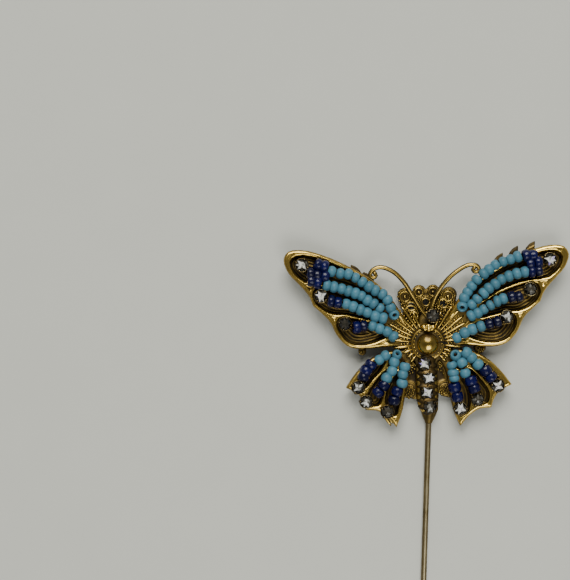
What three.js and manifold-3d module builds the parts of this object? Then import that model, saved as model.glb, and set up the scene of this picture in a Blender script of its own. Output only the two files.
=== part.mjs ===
// Butterfly hair pin: a stamped brass butterfly with bead strands and rose-cut crystals, wired and
// riveted on a filigree plate, with a long pin stem soldered to the pad on its back.
// Millimetres. +X is the right wing as seen from the front, +Y points to the head, +Z out of the front.
// The origin is on the flat back of the pad, under the middle of the thorax.

import * as THREE from "three";
import { mergeVertices } from "three/addons/utils/BufferGeometryUtils.js";
import Module from "manifold-3d";

const wasm = await Module();
wasm.setup();

// ---- Driving dimensions ----------------------------------------------------------------------

// Heights of the layers, from the table up.
const PAD_THICKNESS = 1.2;
const PLATE_BOTTOM = 1.25;
const PLATE_THICKNESS = 0.5;
const STAMPING_BOTTOM = 2.0;
const STAMPING_THICKNESS = 0.8;
const STAMPING_TOP = STAMPING_BOTTOM + STAMPING_THICKNESS;
const CLEARANCE = 0.05;

// The wings are bent up from a flat hub.
const HUB_HALF_WIDTH = 4;
const WING_SLOPE = Math.tan(THREE.MathUtils.degToRad(4));

// Pad and pin stem. The stem leans a little to one side of the butterfly's axis.
const PAD_RADIUS = 5.5;
const STEM_LEAN = THREE.MathUtils.degToRad(-3);
const STEM_OFFSET = 1.2;
const STEM_RADIUS = 0.55;
const STEM_HEIGHT = 0.6;
const STEM_START = -8.5;
const STEM_LENGTH = 67.5;
const STEM_TAPER = 9;
const TAIL_END = -14.6;
const TAIL_HALF_WIDTH = 1.75;
const TAIL_END_HALF_WIDTH = 0.95;

// Thorax rivet, head and antennae.
const THORAX = [0.3, 0.2];
const DOME_RADIUS = 1.95;
const DOME_HEIGHT = 1.75;
const SHANK_RADIUS = 0.8;
const SHANK_HOLE_RADIUS = 0.9;
const HEAD = [0.4, 3.35];
const ANTENNA_RADIUS = 0.36;
const ANTENNA_CURL_RADIUS = 0.78;

// Beads on their wires.
const TURQUOISE_RADIUS = 0.96;
const COBALT_RADIUS = 0.88;
const BEAD_ASPECT = 0.74;
const BEAD_SIDES = 6;
const WIRE_RADIUS = 0.15;
const BEAD_LEVEL = STAMPING_TOP + TURQUOISE_RADIUS + CLEARANCE;

// Rose-cut crystals in cups.
const CRYSTAL_RADIUS = 1.22;
const CRYSTAL_HEIGHT = 0.8;
const CUP_RADIUS = 1.35;
const CUP_WALL = 0.09;
const CUP_FLOOR = 0.45;
const CUP_HEIGHT = 0.85;
const CUP_LEVEL = STAMPING_TOP + 0.15;
const HEAD_CUP_LEVEL = STAMPING_TOP + 0.66;
const STRIP_HALF_WIDTH = 1.9;
const STRIP_HEIGHT = 1.15;
const STRIP_LEVEL = STAMPING_TOP + CLEARANCE;

// ---- Materials -------------------------------------------------------------------------------

const brass = new THREE.MeshStandardMaterial({ color: "#8c6a2c", roughness: 0.38, metalness: 1 });
const darkBrass = new THREE.MeshStandardMaterial({ color: "#6b5128", roughness: 0.45, metalness: 1 });
const turquoise = new THREE.MeshStandardMaterial({ color: "#57a6c0", roughness: 0.3, metalness: 0 });
const cobalt = new THREE.MeshStandardMaterial({ color: "#141c6e", roughness: 0.12, metalness: 0 });
const crystal = new THREE.MeshStandardMaterial({ color: "#d9dcdc", roughness: 0.05, metalness: 0 });

// ---- Geometry helpers ------------------------------------------------------------------------

function toSolid(geometry) {
  const bare = geometry.clone();
  bare.deleteAttribute("normal");
  bare.deleteAttribute("uv");
  const merged = mergeVertices(bare);
  const vertProperties = new Float32Array(merged.attributes.position.array);
  const triVerts = new Uint32Array(merged.index.array);
  return new wasm.Manifold(new wasm.Mesh({ numProp: 3, vertProperties, triVerts }));
}

function toGeometry(solid) {
  const { vertProperties, triVerts } = solid.getMesh();
  const geometry = new THREE.BufferGeometry();
  geometry.setAttribute("position", new THREE.BufferAttribute(new Float32Array(vertProperties), 3));
  geometry.setIndex(new THREE.BufferAttribute(new Uint32Array(triVerts), 1));
  geometry.computeVertexNormals();
  return geometry;
}

function join(geometries) {
  return geometries.map(toSolid).reduce((whole, next) => whole.add(next));
}

function lift(x) {
  return WING_SLOPE * Math.max(0, Math.abs(x) - HUB_HALF_WIDTH);
}

function bendUp(geometry) {
  const position = geometry.attributes.position;
  for (let i = 0; i < position.count; i += 1) {
    position.setZ(i, position.getZ(i) + lift(position.getX(i)));
  }
  return geometry;
}

// Points of a smooth line through a few plan points.
function smooth(points, steps, closed = false) {
  const nodes = points.map(([x, y]) => new THREE.Vector3(x, y, 0));
  const curve = new THREE.CatmullRomCurve3(nodes, closed, "centripetal");
  const line = curve.getPoints(steps).map((p) => new THREE.Vector2(p.x, p.y));
  if (closed) {
    line.pop();
  }
  return line;
}

// A wing's points at a spread from the middle; a negative spread is the left wing.
function spreadOut(points, spread) {
  return points.map(([x, y]) => [x * spread, y]);
}

// A shape with holes. Its outline runs anticlockwise, which lets the extrusion turn the holes round.
function pierced(outline, holes) {
  const shape = new THREE.Shape(THREE.ShapeUtils.isClockWise(outline) ? outline.toReversed() : outline);
  shape.holes = holes;
  return shape;
}

function plate(shape, bottom, thickness) {
  const geometry = new THREE.ExtrudeGeometry(shape, { depth: thickness, bevelEnabled: false, curveSegments: 6 });
  return geometry.translate(0, 0, bottom);
}

function disc(x, y, radius, bottom, thickness, sides = 20) {
  const geometry = new THREE.CylinderGeometry(radius, radius, thickness, sides);
  return geometry.rotateX(Math.PI / 2).translate(x, y, bottom + thickness / 2);
}

// ---- Wings -----------------------------------------------------------------------------------

// Edges of the right wings, which the left wings mirror. Each list runs between two sharp corners.
const FOREWING_EDGES = [
  [[2.4, 2.6], [5.9, 8.2], [9.3, 12.1], [14.0, 15.1], [19.7, 17.7], [23.6, 18.7], [26.2, 18.4],
    [27.1, 16.9], [26.3, 14.4], [23.7, 11.5], [22.3, 9.7], [21.6, 7.9]],
  [[21.6, 7.9], [19.8, 6.3], [18.3, 4.6], [17.3, 2.4], [15.2, 0.1], [12.5, -0.6], [7.0, -0.2], [2.4, -0.4]],
];
const HINDWING_EDGES = [
  [[2.4, -0.6], [4.5, -1.0], [7.9, -1.1], [10.9, -2.5], [13.6, -5.0], [15.7, -7.9]],
  [[15.7, -7.9], [13.4, -9.1], [12.2, -10.9], [11.8, -12.3]],
  [[11.8, -12.3], [9.6, -12.5], [7.6, -13.9], [6.0, -15.8]],
  [[6.0, -15.8], [4.9, -12.9], [4.2, -9.5], [3.5, -4.9], [2.4, -2.5]],
];

// The open cells between the veins, each a smooth closed loop.
const FOREWING_CELLS = [
  [[8.3, 8.4], [9.9, 11.2], [14.4, 14.2], [18.4, 16.1], [22.0, 17.3], [24.6, 17.4], [25.7, 16.4],
    [25.0, 14.4], [23.0, 12.7], [20.4, 12.4], [17.5, 11.7], [13.6, 10.2], [10.3, 8.2]],
  [[9.9, 5.3], [12.6, 5.6], [15.5, 6.3], [17.6, 6.4], [19.4, 7.2], [20.8, 8.4], [21.4, 10.0],
    [20.6, 11.4], [17.7, 11.1], [13.9, 9.5], [10.6, 7.4]],
  [[7.6, 2.1], [10.1, 0.8], [12.7, 0.4], [14.7, 0.9], [16.2, 2.4], [16.9, 4.0], [16.5, 5.3],
    [15.2, 5.5], [12.8, 4.9], [9.8, 3.9]],
];
const HINDWING_CELLS = [
  [[8.1, -2.8], [10.8, -4.2], [12.8, -6.5], [13.7, -7.9], [12.5, -8.2], [10.6, -6.3], [8.8, -4.4]],
  [[7.7, -4.9], [9.8, -7.0], [11.3, -9.4], [10.9, -11.2], [9.3, -11.2], [8.4, -8.4], [7.2, -6.1]],
  [[5.3, -5.4], [6.9, -7.2], [7.8, -9.6], [7.6, -12.3], [6.3, -13.4], [5.5, -10.8], [4.9, -7.6]],
];
// How far each wing spreads from the middle; the right pair is bent out a little wider.
const WING_SPREAD = { left: { fore: -1, hind: -1 }, right: { fore: 1.015, hind: 1.035 } };
const EDGE_STEPS_PER_POINT = 3;
const CELL_STEPS = 26;

function wingShape(edges, cells, spread) {
  const outline = edges.flatMap((edge) => {
    const line = smooth(spreadOut(edge, spread), (edge.length - 1) * EDGE_STEPS_PER_POINT);
    return line.slice(0, -1);
  });
  const [lastX, lastY] = edges.at(-1).at(-1);
  outline.push(new THREE.Vector2(lastX * spread, lastY));
  return pierced(outline, cells.map((cell) => new THREE.Path(smooth(spreadOut(cell, spread), CELL_STEPS, true))));
}

const ABDOMEN_HALF_WIDTH = 2.1;
const ABDOMEN_END = -13.3;

function abdomenShape() {
  const shape = new THREE.Shape();
  shape.moveTo(-ABDOMEN_HALF_WIDTH, 0);
  shape.lineTo(-ABDOMEN_HALF_WIDTH, -9);
  shape.quadraticCurveTo(-ABDOMEN_HALF_WIDTH, ABDOMEN_END, 0, ABDOMEN_END);
  shape.quadraticCurveTo(ABDOMEN_HALF_WIDTH, ABDOMEN_END, ABDOMEN_HALF_WIDTH, -9);
  shape.lineTo(ABDOMEN_HALF_WIDTH, 0);
  return shape;
}

function shankHole() {
  return toSolid(disc(...THORAX, SHANK_HOLE_RADIUS, 0, 4));
}

// The front stamping: rims and veins around open cells, a round hub, an abdomen and a head lobe.
function wingStamping() {
  const layer = [STAMPING_BOTTOM, STAMPING_THICKNESS];
  const pieces = [
    disc(0, 0.2, HUB_HALF_WIDTH, ...layer, 28),
    disc(0.7, 4.6, 2, ...layer),
    plate(abdomenShape(), ...layer),
  ];
  for (const { fore, hind } of Object.values(WING_SPREAD)) {
    pieces.push(bendUp(plate(wingShape(FOREWING_EDGES, FOREWING_CELLS, fore), ...layer)));
    pieces.push(bendUp(plate(wingShape(HINDWING_EDGES, HINDWING_CELLS, hind), ...layer)));
  }
  return toGeometry(join(pieces).subtract(shankHole()));
}

// ---- Filigree plate behind the stamping --------------------------------------------------------

// Its wings follow the stamping's outline a little inside it and close the open cells from behind.
const PLATE_WING_SCALE = 0.965;
const FOREWING_MIDDLE = [14.5, 8.5];
const HINDWING_MIDDLE = [9, -8];
// Its rosette, leaf points and lobes sit a little turned and shifted, so they show past the rims.
const PLATE_TURN = THREE.MathUtils.degToRad(2.2);
const PLATE_SHIFT = 0.9;
const LEFT_LEAF_POINTS = [[14.5, 16.35], [12.15, 14.8]];
const RIGHT_LEAF_POINTS = [[15.0, 16.9], [18.0, 18.1], [21.2, 18.8]];
const LEAF_LENGTH = 3.4;
const LEAF_HALF_WIDTH = 0.85;
const ROSETTE_LOBES = [[-4.3, 9.8, 1.5], [-1.5, 10.4, 1.3], [1.2, 10.3, 1.3], [4.2, 9.4, 1.6]];
const ROSETTE_EYES = [[-3.2, 7.6, 0.7], [-0.4, 8.2, 0.6], [3.0, 7.8, 0.7]];
const BODY_LOBES = [[-3.3, -8.8, 1.7], [3.3, -8.8, 1.7], [-3.6, -5.4, 2.2], [3.2, -5.4, 2.2], [0, -6.2, 3.2]];
const EDGE_LOBES = [[9.5, -1.1, 1.2], [-13.2, -0.5, 0.8]];

function leafShape([x, y], side) {
  const shape = new THREE.Shape();
  const rootX = x - 1.6;
  const rootY = y - LEAF_LENGTH;
  shape.moveTo(x * side, y);
  shape.quadraticCurveTo((x - 2.2) * side, y - 0.6, (rootX - LEAF_HALF_WIDTH) * side, rootY);
  shape.lineTo((rootX + LEAF_HALF_WIDTH) * side, rootY);
  shape.quadraticCurveTo(x * side, y - 1.6, x * side, y);
  return shape;
}

function rosetteShape() {
  const shape = new THREE.Shape();
  shape.moveTo(-3, 0);
  shape.lineTo(-5.5, 9.3);
  shape.quadraticCurveTo(0, 12.5, 5.7, 9.0);
  shape.lineTo(3, 0);
  shape.holes = ROSETTE_EYES.map(([x, y, radius]) => new THREE.Path().absarc(x, y, radius, 0, 2 * Math.PI));
  return shape;
}

function shrunk(edges, [middleX, middleY]) {
  return edges.map((edge) => edge.map(([x, y]) => {
    return [middleX + (x - middleX) * PLATE_WING_SCALE, middleY + (y - middleY) * PLATE_WING_SCALE];
  }));
}

function filigreePlate() {
  const layer = [PLATE_BOTTOM, PLATE_THICKNESS];
  const pieces = [disc(0, 0, HUB_HALF_WIDTH, ...layer), plate(rosetteShape(), ...layer)];
  for (const [x, y, radius] of [...ROSETTE_LOBES, ...BODY_LOBES]) {
    pieces.push(disc(x, y, radius, ...layer, 16));
  }
  for (const [x, y, radius] of EDGE_LOBES) {
    pieces.push(bendUp(disc(x, y, radius, ...layer, 16)));
  }
  for (const [side, leaves] of [[-1, LEFT_LEAF_POINTS], [1, RIGHT_LEAF_POINTS]]) {
    for (const leaf of leaves) {
      pieces.push(bendUp(plate(leafShape(leaf, side), ...layer)));
    }
  }
  const turned = toGeometry(join(pieces)).rotateZ(PLATE_TURN).translate(PLATE_SHIFT, 0, 0);
  const forewing = shrunk(FOREWING_EDGES, FOREWING_MIDDLE);
  const hindwing = shrunk(HINDWING_EDGES, HINDWING_MIDDLE);
  const wings = Object.values(WING_SPREAD).flatMap(({ fore, hind }) => [
    bendUp(plate(wingShape(forewing, [], fore), ...layer)),
    bendUp(plate(wingShape(hindwing, [], hind), ...layer)),
  ]);
  return toGeometry(join([turned, ...wings]).subtract(shankHole()));
}

// ---- Pad and pin stem ------------------------------------------------------------------------

// A round pad with a tail that tapers to the stem; the stem lies soldered in the tail's slot.
function backPad() {
  const tail = new THREE.Shape();
  tail.moveTo(-TAIL_HALF_WIDTH, 0);
  tail.lineTo(-TAIL_HALF_WIDTH, -12.6);
  tail.lineTo(-TAIL_END_HALF_WIDTH, TAIL_END);
  tail.lineTo(TAIL_END_HALF_WIDTH, TAIL_END);
  tail.lineTo(TAIL_HALF_WIDTH, -12.6);
  tail.lineTo(TAIL_HALF_WIDTH, 0);
  const leaning = plate(tail, 0, PAD_THICKNESS);
  const slotHalfWidth = STEM_RADIUS + CLEARANCE / 2;
  const slotLength = 10;
  const slot = new THREE.BoxGeometry(2 * slotHalfWidth, slotLength, 4);
  slot.translate(0, STEM_START + CLEARANCE / 2 - slotLength / 2, 0);
  for (const geometry of [leaning, slot]) {
    geometry.rotateZ(STEM_LEAN).translate(STEM_OFFSET, 0, 0);
  }
  const pad = disc(0, 0, PAD_RADIUS, 0, PAD_THICKNESS, 32);
  return toGeometry(join([pad, leaning]).subtract(toSolid(slot)));
}

function pinStem() {
  const profile = [
    new THREE.Vector2(0, -STEM_LENGTH),
    new THREE.Vector2(0.12, 0.25 - STEM_LENGTH),
    new THREE.Vector2(STEM_RADIUS, STEM_TAPER - STEM_LENGTH),
    new THREE.Vector2(STEM_RADIUS, 0),
    new THREE.Vector2(0, 0),
  ];
  return new THREE.LatheGeometry(profile, 12);
}

// ---- Thorax, head and antennae -----------------------------------------------------------------

// The dome is the head of a rivet whose shank holds the stamping and the filigree plate to the pad.
function thoraxRivet() {
  const shankLength = STAMPING_TOP - PAD_THICKNESS;
  const profile = [new THREE.Vector2(0, CLEARANCE - shankLength)];
  profile.push(new THREE.Vector2(SHANK_RADIUS, CLEARANCE - shankLength));
  profile.push(new THREE.Vector2(SHANK_RADIUS, CLEARANCE));
  const arcSteps = 5;
  for (let i = 0; i <= arcSteps; i += 1) {
    const angle = (i / arcSteps) * (Math.PI / 2);
    const radius = i === arcSteps ? 0 : DOME_RADIUS * Math.cos(angle);
    profile.push(new THREE.Vector2(radius, CLEARANCE + DOME_HEIGHT * Math.sin(angle)));
  }
  return new THREE.LatheGeometry(profile, 14).rotateX(Math.PI / 2);
}

function headCap() {
  const cap = new THREE.SphereGeometry(1, 12, 7);
  return cap.scale(1.6, 1, 0.7);
}

// The middle lines of the two antennae, from the bend of the wire under the head to each curled end.
const ANTENNA_BEND = [0.3, 5.25, 3.14];
const LEFT_ANTENNA = [
  [-0.7, 6.6, 3.14], [-2.3, 9.2, 3.4], [-4.1, 12.1, 3.9], [-6.2, 14.2, 4.1], [-8.6, 15.1, 4.1], [-10.3, 14.2, 4.0],
];
const RIGHT_ANTENNA = [
  [1.1, 6.9, 3.14], [1.9, 9.2, 3.4], [3.6, 11.8, 3.9], [6.0, 14.0, 4.1], [8.4, 15.2, 4.1], [10.1, 14.7, 4.0],
];
const LEFT_CURL = [-9.9, 13.75, 4.0];
const RIGHT_CURL = [9.6, 14.4, 4.0];

function antennaWire() {
  const route = [...LEFT_ANTENNA.toReversed(), ANTENNA_BEND, ...RIGHT_ANTENNA];
  const path = new THREE.CatmullRomCurve3(route.map((p) => new THREE.Vector3(...p)), false, "centripetal");
  const section = new THREE.Shape().absarc(0, 0, ANTENNA_RADIUS, 0, 2 * Math.PI);
  const tube = new THREE.ExtrudeGeometry(section, { steps: 44, curveSegments: 3, extrudePath: path });
  const curls = [LEFT_CURL, RIGHT_CURL].map((centre) => {
    return new THREE.SphereGeometry(ANTENNA_CURL_RADIUS, 10, 7).translate(...centre);
  });
  return toGeometry(join([tube, ...curls]));
}

// ---- Crystals --------------------------------------------------------------------------------

function cup() {
  const inner = CUP_RADIUS - CUP_WALL + 0.02;
  const profile = [
    [0, 0], [1.05, 0], [CUP_RADIUS, 0.3], [CUP_RADIUS, CUP_HEIGHT], [inner, CUP_HEIGHT],
    [inner, CUP_FLOOR], [0, CUP_FLOOR],
  ];
  return new THREE.LatheGeometry(profile.map(([r, h]) => new THREE.Vector2(r, h)), 8).rotateX(Math.PI / 2);
}

function roseCut() {
  const profile = [
    [0, 0], [CRYSTAL_RADIUS - 0.12, 0], [CRYSTAL_RADIUS, 0.3], [0.5 * CRYSTAL_RADIUS, CRYSTAL_HEIGHT - 0.08],
    [0, CRYSTAL_HEIGHT],
  ];
  return new THREE.LatheGeometry(profile.map(([r, h]) => new THREE.Vector2(r, h)), 8).rotateX(Math.PI / 2);
}

// Middle of each wing crystal; the two sides are set by hand and differ a little.
const WING_CRYSTALS = {
  left_forewing_tip: [-23.6, 15.8],
  left_forewing_middle: [-20.1, 9.8],
  left_forewing_lower: [-15.6, 4.4],
  left_hindwing_outer: [-13.3, -7.8],
  left_hindwing_middle: [-11.8, -10.6],
  left_hindwing_inner: [-7.8, -12.6],
  right_forewing_tip: [23.7, 15.9],
  right_forewing_middle: [19.9, 10.3],
  right_forewing_lower: [15.4, 5.1],
  right_hindwing_outer: [13.4, -8.0],
  right_hindwing_middle: [9.5, -10.6],
  right_hindwing_inner: [6.2, -12.3],
};
const HEAD_CRYSTAL = [1.3, 5.6];
const ABDOMEN_CRYSTALS = [[-0.4, -3.6], [0.25, -6.35], [-0.1, -9.1], [0.4, -11.85]];
const STRIP_RECESS_DEPTH = 0.55;

function abdomenStrip() {
  const bar = new THREE.Shape();
  const top = -1.85;
  const bottom = -13.6;
  const corner = 1.4;
  bar.moveTo(-STRIP_HALF_WIDTH, top - corner);
  bar.quadraticCurveTo(-STRIP_HALF_WIDTH, top, 0, top);
  bar.quadraticCurveTo(STRIP_HALF_WIDTH, top, STRIP_HALF_WIDTH, top - corner);
  bar.lineTo(STRIP_HALF_WIDTH, bottom + corner);
  bar.quadraticCurveTo(STRIP_HALF_WIDTH, bottom, 0.2, bottom);
  bar.quadraticCurveTo(-STRIP_HALF_WIDTH + 0.4, bottom, -STRIP_HALF_WIDTH, bottom + corner + 1);
  const recesses = ABDOMEN_CRYSTALS.map(([x, y]) => {
    const floor = STRIP_LEVEL + STRIP_HEIGHT - STRIP_RECESS_DEPTH;
    return disc(x, y, CRYSTAL_RADIUS + CLEARANCE, floor, 2, 16);
  });
  const domeSeat = disc(...THORAX, DOME_RADIUS + CLEARANCE, 0, 8, 28);
  const solid = toSolid(plate(bar, STRIP_LEVEL, STRIP_HEIGHT));
  return toGeometry(solid.subtract(join(recesses)).subtract(toSolid(domeSeat)));
}

// ---- Bead strands ----------------------------------------------------------------------------

// One row: bead bumps on a thin wire, turned as a lathe profile and laid along the row's plan line.
function beadRow({ through, count }, radius) {
  const route = new THREE.CatmullRomCurve3(
    through.map(([x, y]) => new THREE.Vector3(x, y, BEAD_LEVEL + lift(x))), false, "centripetal");
  const length = route.getLength();
  const pitch = length / (count - 1);
  const half = Math.min(radius * BEAD_ASPECT, pitch / 2 - 0.01);
  const profile = [new THREE.Vector2(0, -half - WIRE_RADIUS)];
  for (let i = 0; i < count; i += 1) {
    const middle = i * pitch;
    profile.push(new THREE.Vector2(WIRE_RADIUS, middle - half));
    profile.push(new THREE.Vector2(radius, middle - half / 2));
    profile.push(new THREE.Vector2(radius, middle + half / 2));
    profile.push(new THREE.Vector2(WIRE_RADIUS, middle + half));
  }
  profile.push(new THREE.Vector2(0, length + half + WIRE_RADIUS));
  return layAlong(new THREE.LatheGeometry(profile, BEAD_SIDES), route, length);
}

function layAlong(geometry, route, length) {
  const up = new THREE.Vector3(0, 0, 1);
  const position = geometry.attributes.position;
  for (let i = 0; i < position.count; i += 1) {
    const along = position.getY(i);
    const inside = THREE.MathUtils.clamp(along, 0, length);
    const tangent = route.getTangentAt(inside / length);
    const sideways = new THREE.Vector3().crossVectors(tangent, up).normalize();
    const outward = new THREE.Vector3().crossVectors(sideways, tangent);
    const point = route.getPointAt(inside / length);
    point.addScaledVector(tangent, along - inside);
    point.addScaledVector(sideways, position.getX(i));
    point.addScaledVector(outward, position.getZ(i));
    position.setXYZ(i, point.x, point.y, point.z);
  }
  return geometry;
}

// The wire that carries on from the end of one row to the start of the next.
function linkWire([ax, ay], [bx, by]) {
  const from = new THREE.Vector3(ax, ay, BEAD_LEVEL + lift(ax));
  const to = new THREE.Vector3(bx, by, BEAD_LEVEL + lift(bx));
  const direction = new THREE.Vector3().subVectors(to, from);
  const wire = new THREE.CylinderGeometry(WIRE_RADIUS, WIRE_RADIUS, direction.length(), BEAD_SIDES);
  const turn = new THREE.Quaternion().setFromUnitVectors(new THREE.Vector3(0, 1, 0), direction.normalize());
  return wire.applyQuaternion(turn).translate((ax + bx) / 2, (ay + by) / 2, (from.z + to.z) / 2);
}

function beadStrand(rows, radius) {
  const pieces = rows.map((row) => beadRow(row, radius));
  for (let i = 1; i < rows.length; i += 1) {
    pieces.push(linkWire(rows[i - 1].through.at(-1), rows[i].through.at(-1)));
  }
  return pieces.length > 1 ? toGeometry(join(pieces)) : pieces[0];
}

// Plan line of each row, from its outer bead to its inner one, and its number of beads.
const TURQUOISE_STRANDS = {
  left_forewing_turquoise_upper_band: [
    { through: [[-17.8, 14.5], [-13.8, 13.3], [-10.6, 11.3], [-7.9, 9.4], [-6.1, 6.0]], count: 11 },
    { through: [[-18.95, 11.85], [-15.4, 10.9], [-11.6, 9.1], [-8.8, 7.3]], count: 9 },
  ],
  left_forewing_turquoise_middle_row: [
    { through: [[-15.3, 8.3], [-11.7, 6.7], [-8.3, 5.3]], count: 6 },
  ],
  left_forewing_turquoise_lower_row: [
    { through: [[-10.35, 3.8], [-8.5, 3.3], [-6.3, 1.8]], count: 4 },
  ],
  left_hindwing_turquoise_outer_row: [
    { through: [[-9.3, -2.6], [-8.0, -1.7]], count: 2 },
  ],
  left_hindwing_turquoise_inner_rows: [
    { through: [[-7.8, -6.0], [-6.6, -4.6], [-6.3, -3.1], [-5.8, -1.6]], count: 4 },
    { through: [[-4.9, -7.1], [-4.8, -5.7], [-4.3, -4.1]], count: 3 },
  ],
  right_forewing_turquoise_upper_band: [
    { through: [[17.6, 16.7], [13.3, 15.0], [9.9, 12.4], [8.0, 10.2], [6.9, 7.3]], count: 11 },
    { through: [[18.7, 13.6], [14.6, 12.4], [11.4, 10.1], [8.9, 7.6]], count: 9 },
  ],
  right_forewing_turquoise_middle_row: [
    { through: [[14.7, 8.6], [12.6, 7.6], [8.6, 5.4]], count: 6 },
  ],
  right_forewing_turquoise_lower_row: [
    { through: [[10.4, 3.5], [8.4, 2.9], [5.9, 1.4]], count: 4 },
  ],
  right_hindwing_turquoise_outer_row: [
    { through: [[9.8, -3.9], [8.5, -2.6], [7.4, -1.6]], count: 3 },
  ],
  right_hindwing_turquoise_inner_rows: [
    { through: [[7.3, -5.5], [6.8, -3.6], [5.5, -2.0]], count: 3 },
    { through: [[5.0, -6.6], [5.0, -5.2], [4.7, -4.0]], count: 3 },
  ],
};
const COBALT_STRANDS = {
  left_forewing_cobalt_tip_cluster: [
    { through: [[-20.5, 15.8], [-19.2, 15.2]], count: 2 },
    { through: [[-22.0, 14.2], [-19.3, 13.55]], count: 3 },
    { through: [[-21.9, 12.7], [-20.6, 12.3]], count: 2 },
  ],
  left_forewing_cobalt_middle_pair: [
    { through: [[-18.2, 8.75], [-16.95, 8.45]], count: 2 },
  ],
  left_forewing_cobalt_lower_pair: [
    { through: [[-13.5, 3.7], [-12.1, 3.8]], count: 2 },
  ],
  left_hindwing_cobalt_outer_row: [
    { through: [[-12.3, -5.9], [-11.6, -4.7], [-10.8, -3.5]], count: 3 },
  ],
  left_hindwing_cobalt_middle_row: [
    { through: [[-9.6, -8.7], [-8.5, -7.6]], count: 2 },
  ],
  left_hindwing_cobalt_inner_row: [
    { through: [[-6.5, -10.4], [-5.9, -8.75]], count: 2 },
  ],
  right_forewing_cobalt_tip_cluster: [
    { through: [[20.7, 16.7], [19.3, 16.65]], count: 2 },
    { through: [[21.4, 15.25], [20.0, 15.15]], count: 2 },
    { through: [[21.7, 13.8], [20.35, 13.6]], count: 2 },
  ],
  right_forewing_cobalt_middle_pair: [
    { through: [[17.7, 9.0], [16.35, 8.85]], count: 2 },
  ],
  right_forewing_cobalt_lower_pair: [
    { through: [[13.4, 4.1], [12.05, 3.8]], count: 2 },
  ],
  right_hindwing_cobalt_outer_row: [
    { through: [[12.1, -6.3], [11.0, -5.1]], count: 2 },
  ],
  right_hindwing_cobalt_middle_row: [
    { through: [[9.0, -8.4], [8.35, -6.9]], count: 2 },
  ],
  right_hindwing_cobalt_inner_row: [
    { through: [[5.7, -10.0], [5.3, -8.3]], count: 2 },
  ],
};

// ---- Assembly --------------------------------------------------------------------------------

function piece(name, geometry, material, place = [0, 0, 0]) {
  const mesh = new THREE.Mesh(geometry, material);
  mesh.name = name;
  mesh.position.set(...place);
  return mesh;
}

const hairPin = new THREE.Group();

const leaningStem = new THREE.Group();
leaningStem.position.set(STEM_OFFSET, 0, STEM_HEIGHT);
leaningStem.rotation.z = STEM_LEAN;
leaningStem.add(piece("pin_stem", pinStem(), darkBrass, [0, STEM_START, 0]));

hairPin.add(leaningStem);
hairPin.add(piece("back_pad", backPad(), darkBrass));
hairPin.add(piece("filigree_back_plate", filigreePlate(), darkBrass));
hairPin.add(piece("wing_stamping", wingStamping(), brass));
hairPin.add(piece("thorax_rivet", thoraxRivet(), brass, [...THORAX, STAMPING_TOP]));
hairPin.add(piece("head_cap", headCap(), brass, [...HEAD, STAMPING_TOP + 0.75]));
hairPin.add(piece("antenna_wire", antennaWire(), brass));
hairPin.add(piece("abdomen_setting_strip", abdomenStrip(), brass));

ABDOMEN_CRYSTALS.forEach(([x, y], i) => {
  const level = STRIP_LEVEL + STRIP_HEIGHT - STRIP_RECESS_DEPTH + CLEARANCE / 2;
  hairPin.add(piece(`abdomen_crystal_${i + 1}`, roseCut(), crystal, [x, y, level]));
});

function addCrystal(name, [x, y], level) {
  hairPin.add(piece(`${name}_setting`, cup(), brass, [x, y, level]));
  hairPin.add(piece(`${name}_crystal`, roseCut(), crystal, [x, y, level + CUP_FLOOR + CLEARANCE / 2]));
}

addCrystal("head", HEAD_CRYSTAL, HEAD_CUP_LEVEL);
for (const [name, place] of Object.entries(WING_CRYSTALS)) {
  addCrystal(name, place, CUP_LEVEL + lift(place[0]));
}
for (const [name, rows] of Object.entries(TURQUOISE_STRANDS)) {
  hairPin.add(piece(name, beadStrand(rows, TURQUOISE_RADIUS), turquoise));
}
for (const [name, rows] of Object.entries(COBALT_STRANDS)) {
  hairPin.add(piece(name, beadStrand(rows, COBALT_RADIUS), cobalt));
}

export default hairPin;
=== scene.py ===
"""Butterfly hair pin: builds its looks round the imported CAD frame.

Shapes are modelled in millimetres and scaled to metres when a piece is finished. The axes are the
CAD's: +X the wing on the right as seen from the front, +Y towards the head, +Z out of the front.
"""

import math
import random

import bmesh
import bpy
from bpy.props import FloatProperty, FloatVectorProperty, PointerProperty
from bpy.types import Operator, Panel, PropertyGroup
from mathutils import Matrix, Vector, noise
from mathutils.bvhtree import BVHTree


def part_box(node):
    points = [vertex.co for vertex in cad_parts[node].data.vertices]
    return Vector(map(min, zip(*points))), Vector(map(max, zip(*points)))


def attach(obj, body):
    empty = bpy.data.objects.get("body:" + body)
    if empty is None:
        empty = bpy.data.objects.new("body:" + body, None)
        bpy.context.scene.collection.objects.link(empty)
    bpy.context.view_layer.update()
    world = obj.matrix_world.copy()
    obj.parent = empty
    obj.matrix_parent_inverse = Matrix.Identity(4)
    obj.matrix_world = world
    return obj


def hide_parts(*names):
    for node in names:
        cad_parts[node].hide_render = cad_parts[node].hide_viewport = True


bl_info = {
    "name": "Beaded Butterfly Hair Pin",
    "version": (1, 0, 0),
    "blender": (4, 5, 0),
    "location": "3D View > Sidebar > Hair Pin",
    "description": "Builds a stamped brass butterfly hair pin with bead strands and cut stones",
    "category": "Add Mesh",
}

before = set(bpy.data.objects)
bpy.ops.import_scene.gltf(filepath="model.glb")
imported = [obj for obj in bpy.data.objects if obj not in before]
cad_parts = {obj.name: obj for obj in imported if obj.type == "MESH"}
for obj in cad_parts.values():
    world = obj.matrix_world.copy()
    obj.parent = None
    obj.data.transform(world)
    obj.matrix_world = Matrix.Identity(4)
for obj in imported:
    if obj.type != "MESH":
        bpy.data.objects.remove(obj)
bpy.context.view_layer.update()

MM = 0.001
WELD = 0.002
SEED = 7

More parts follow.
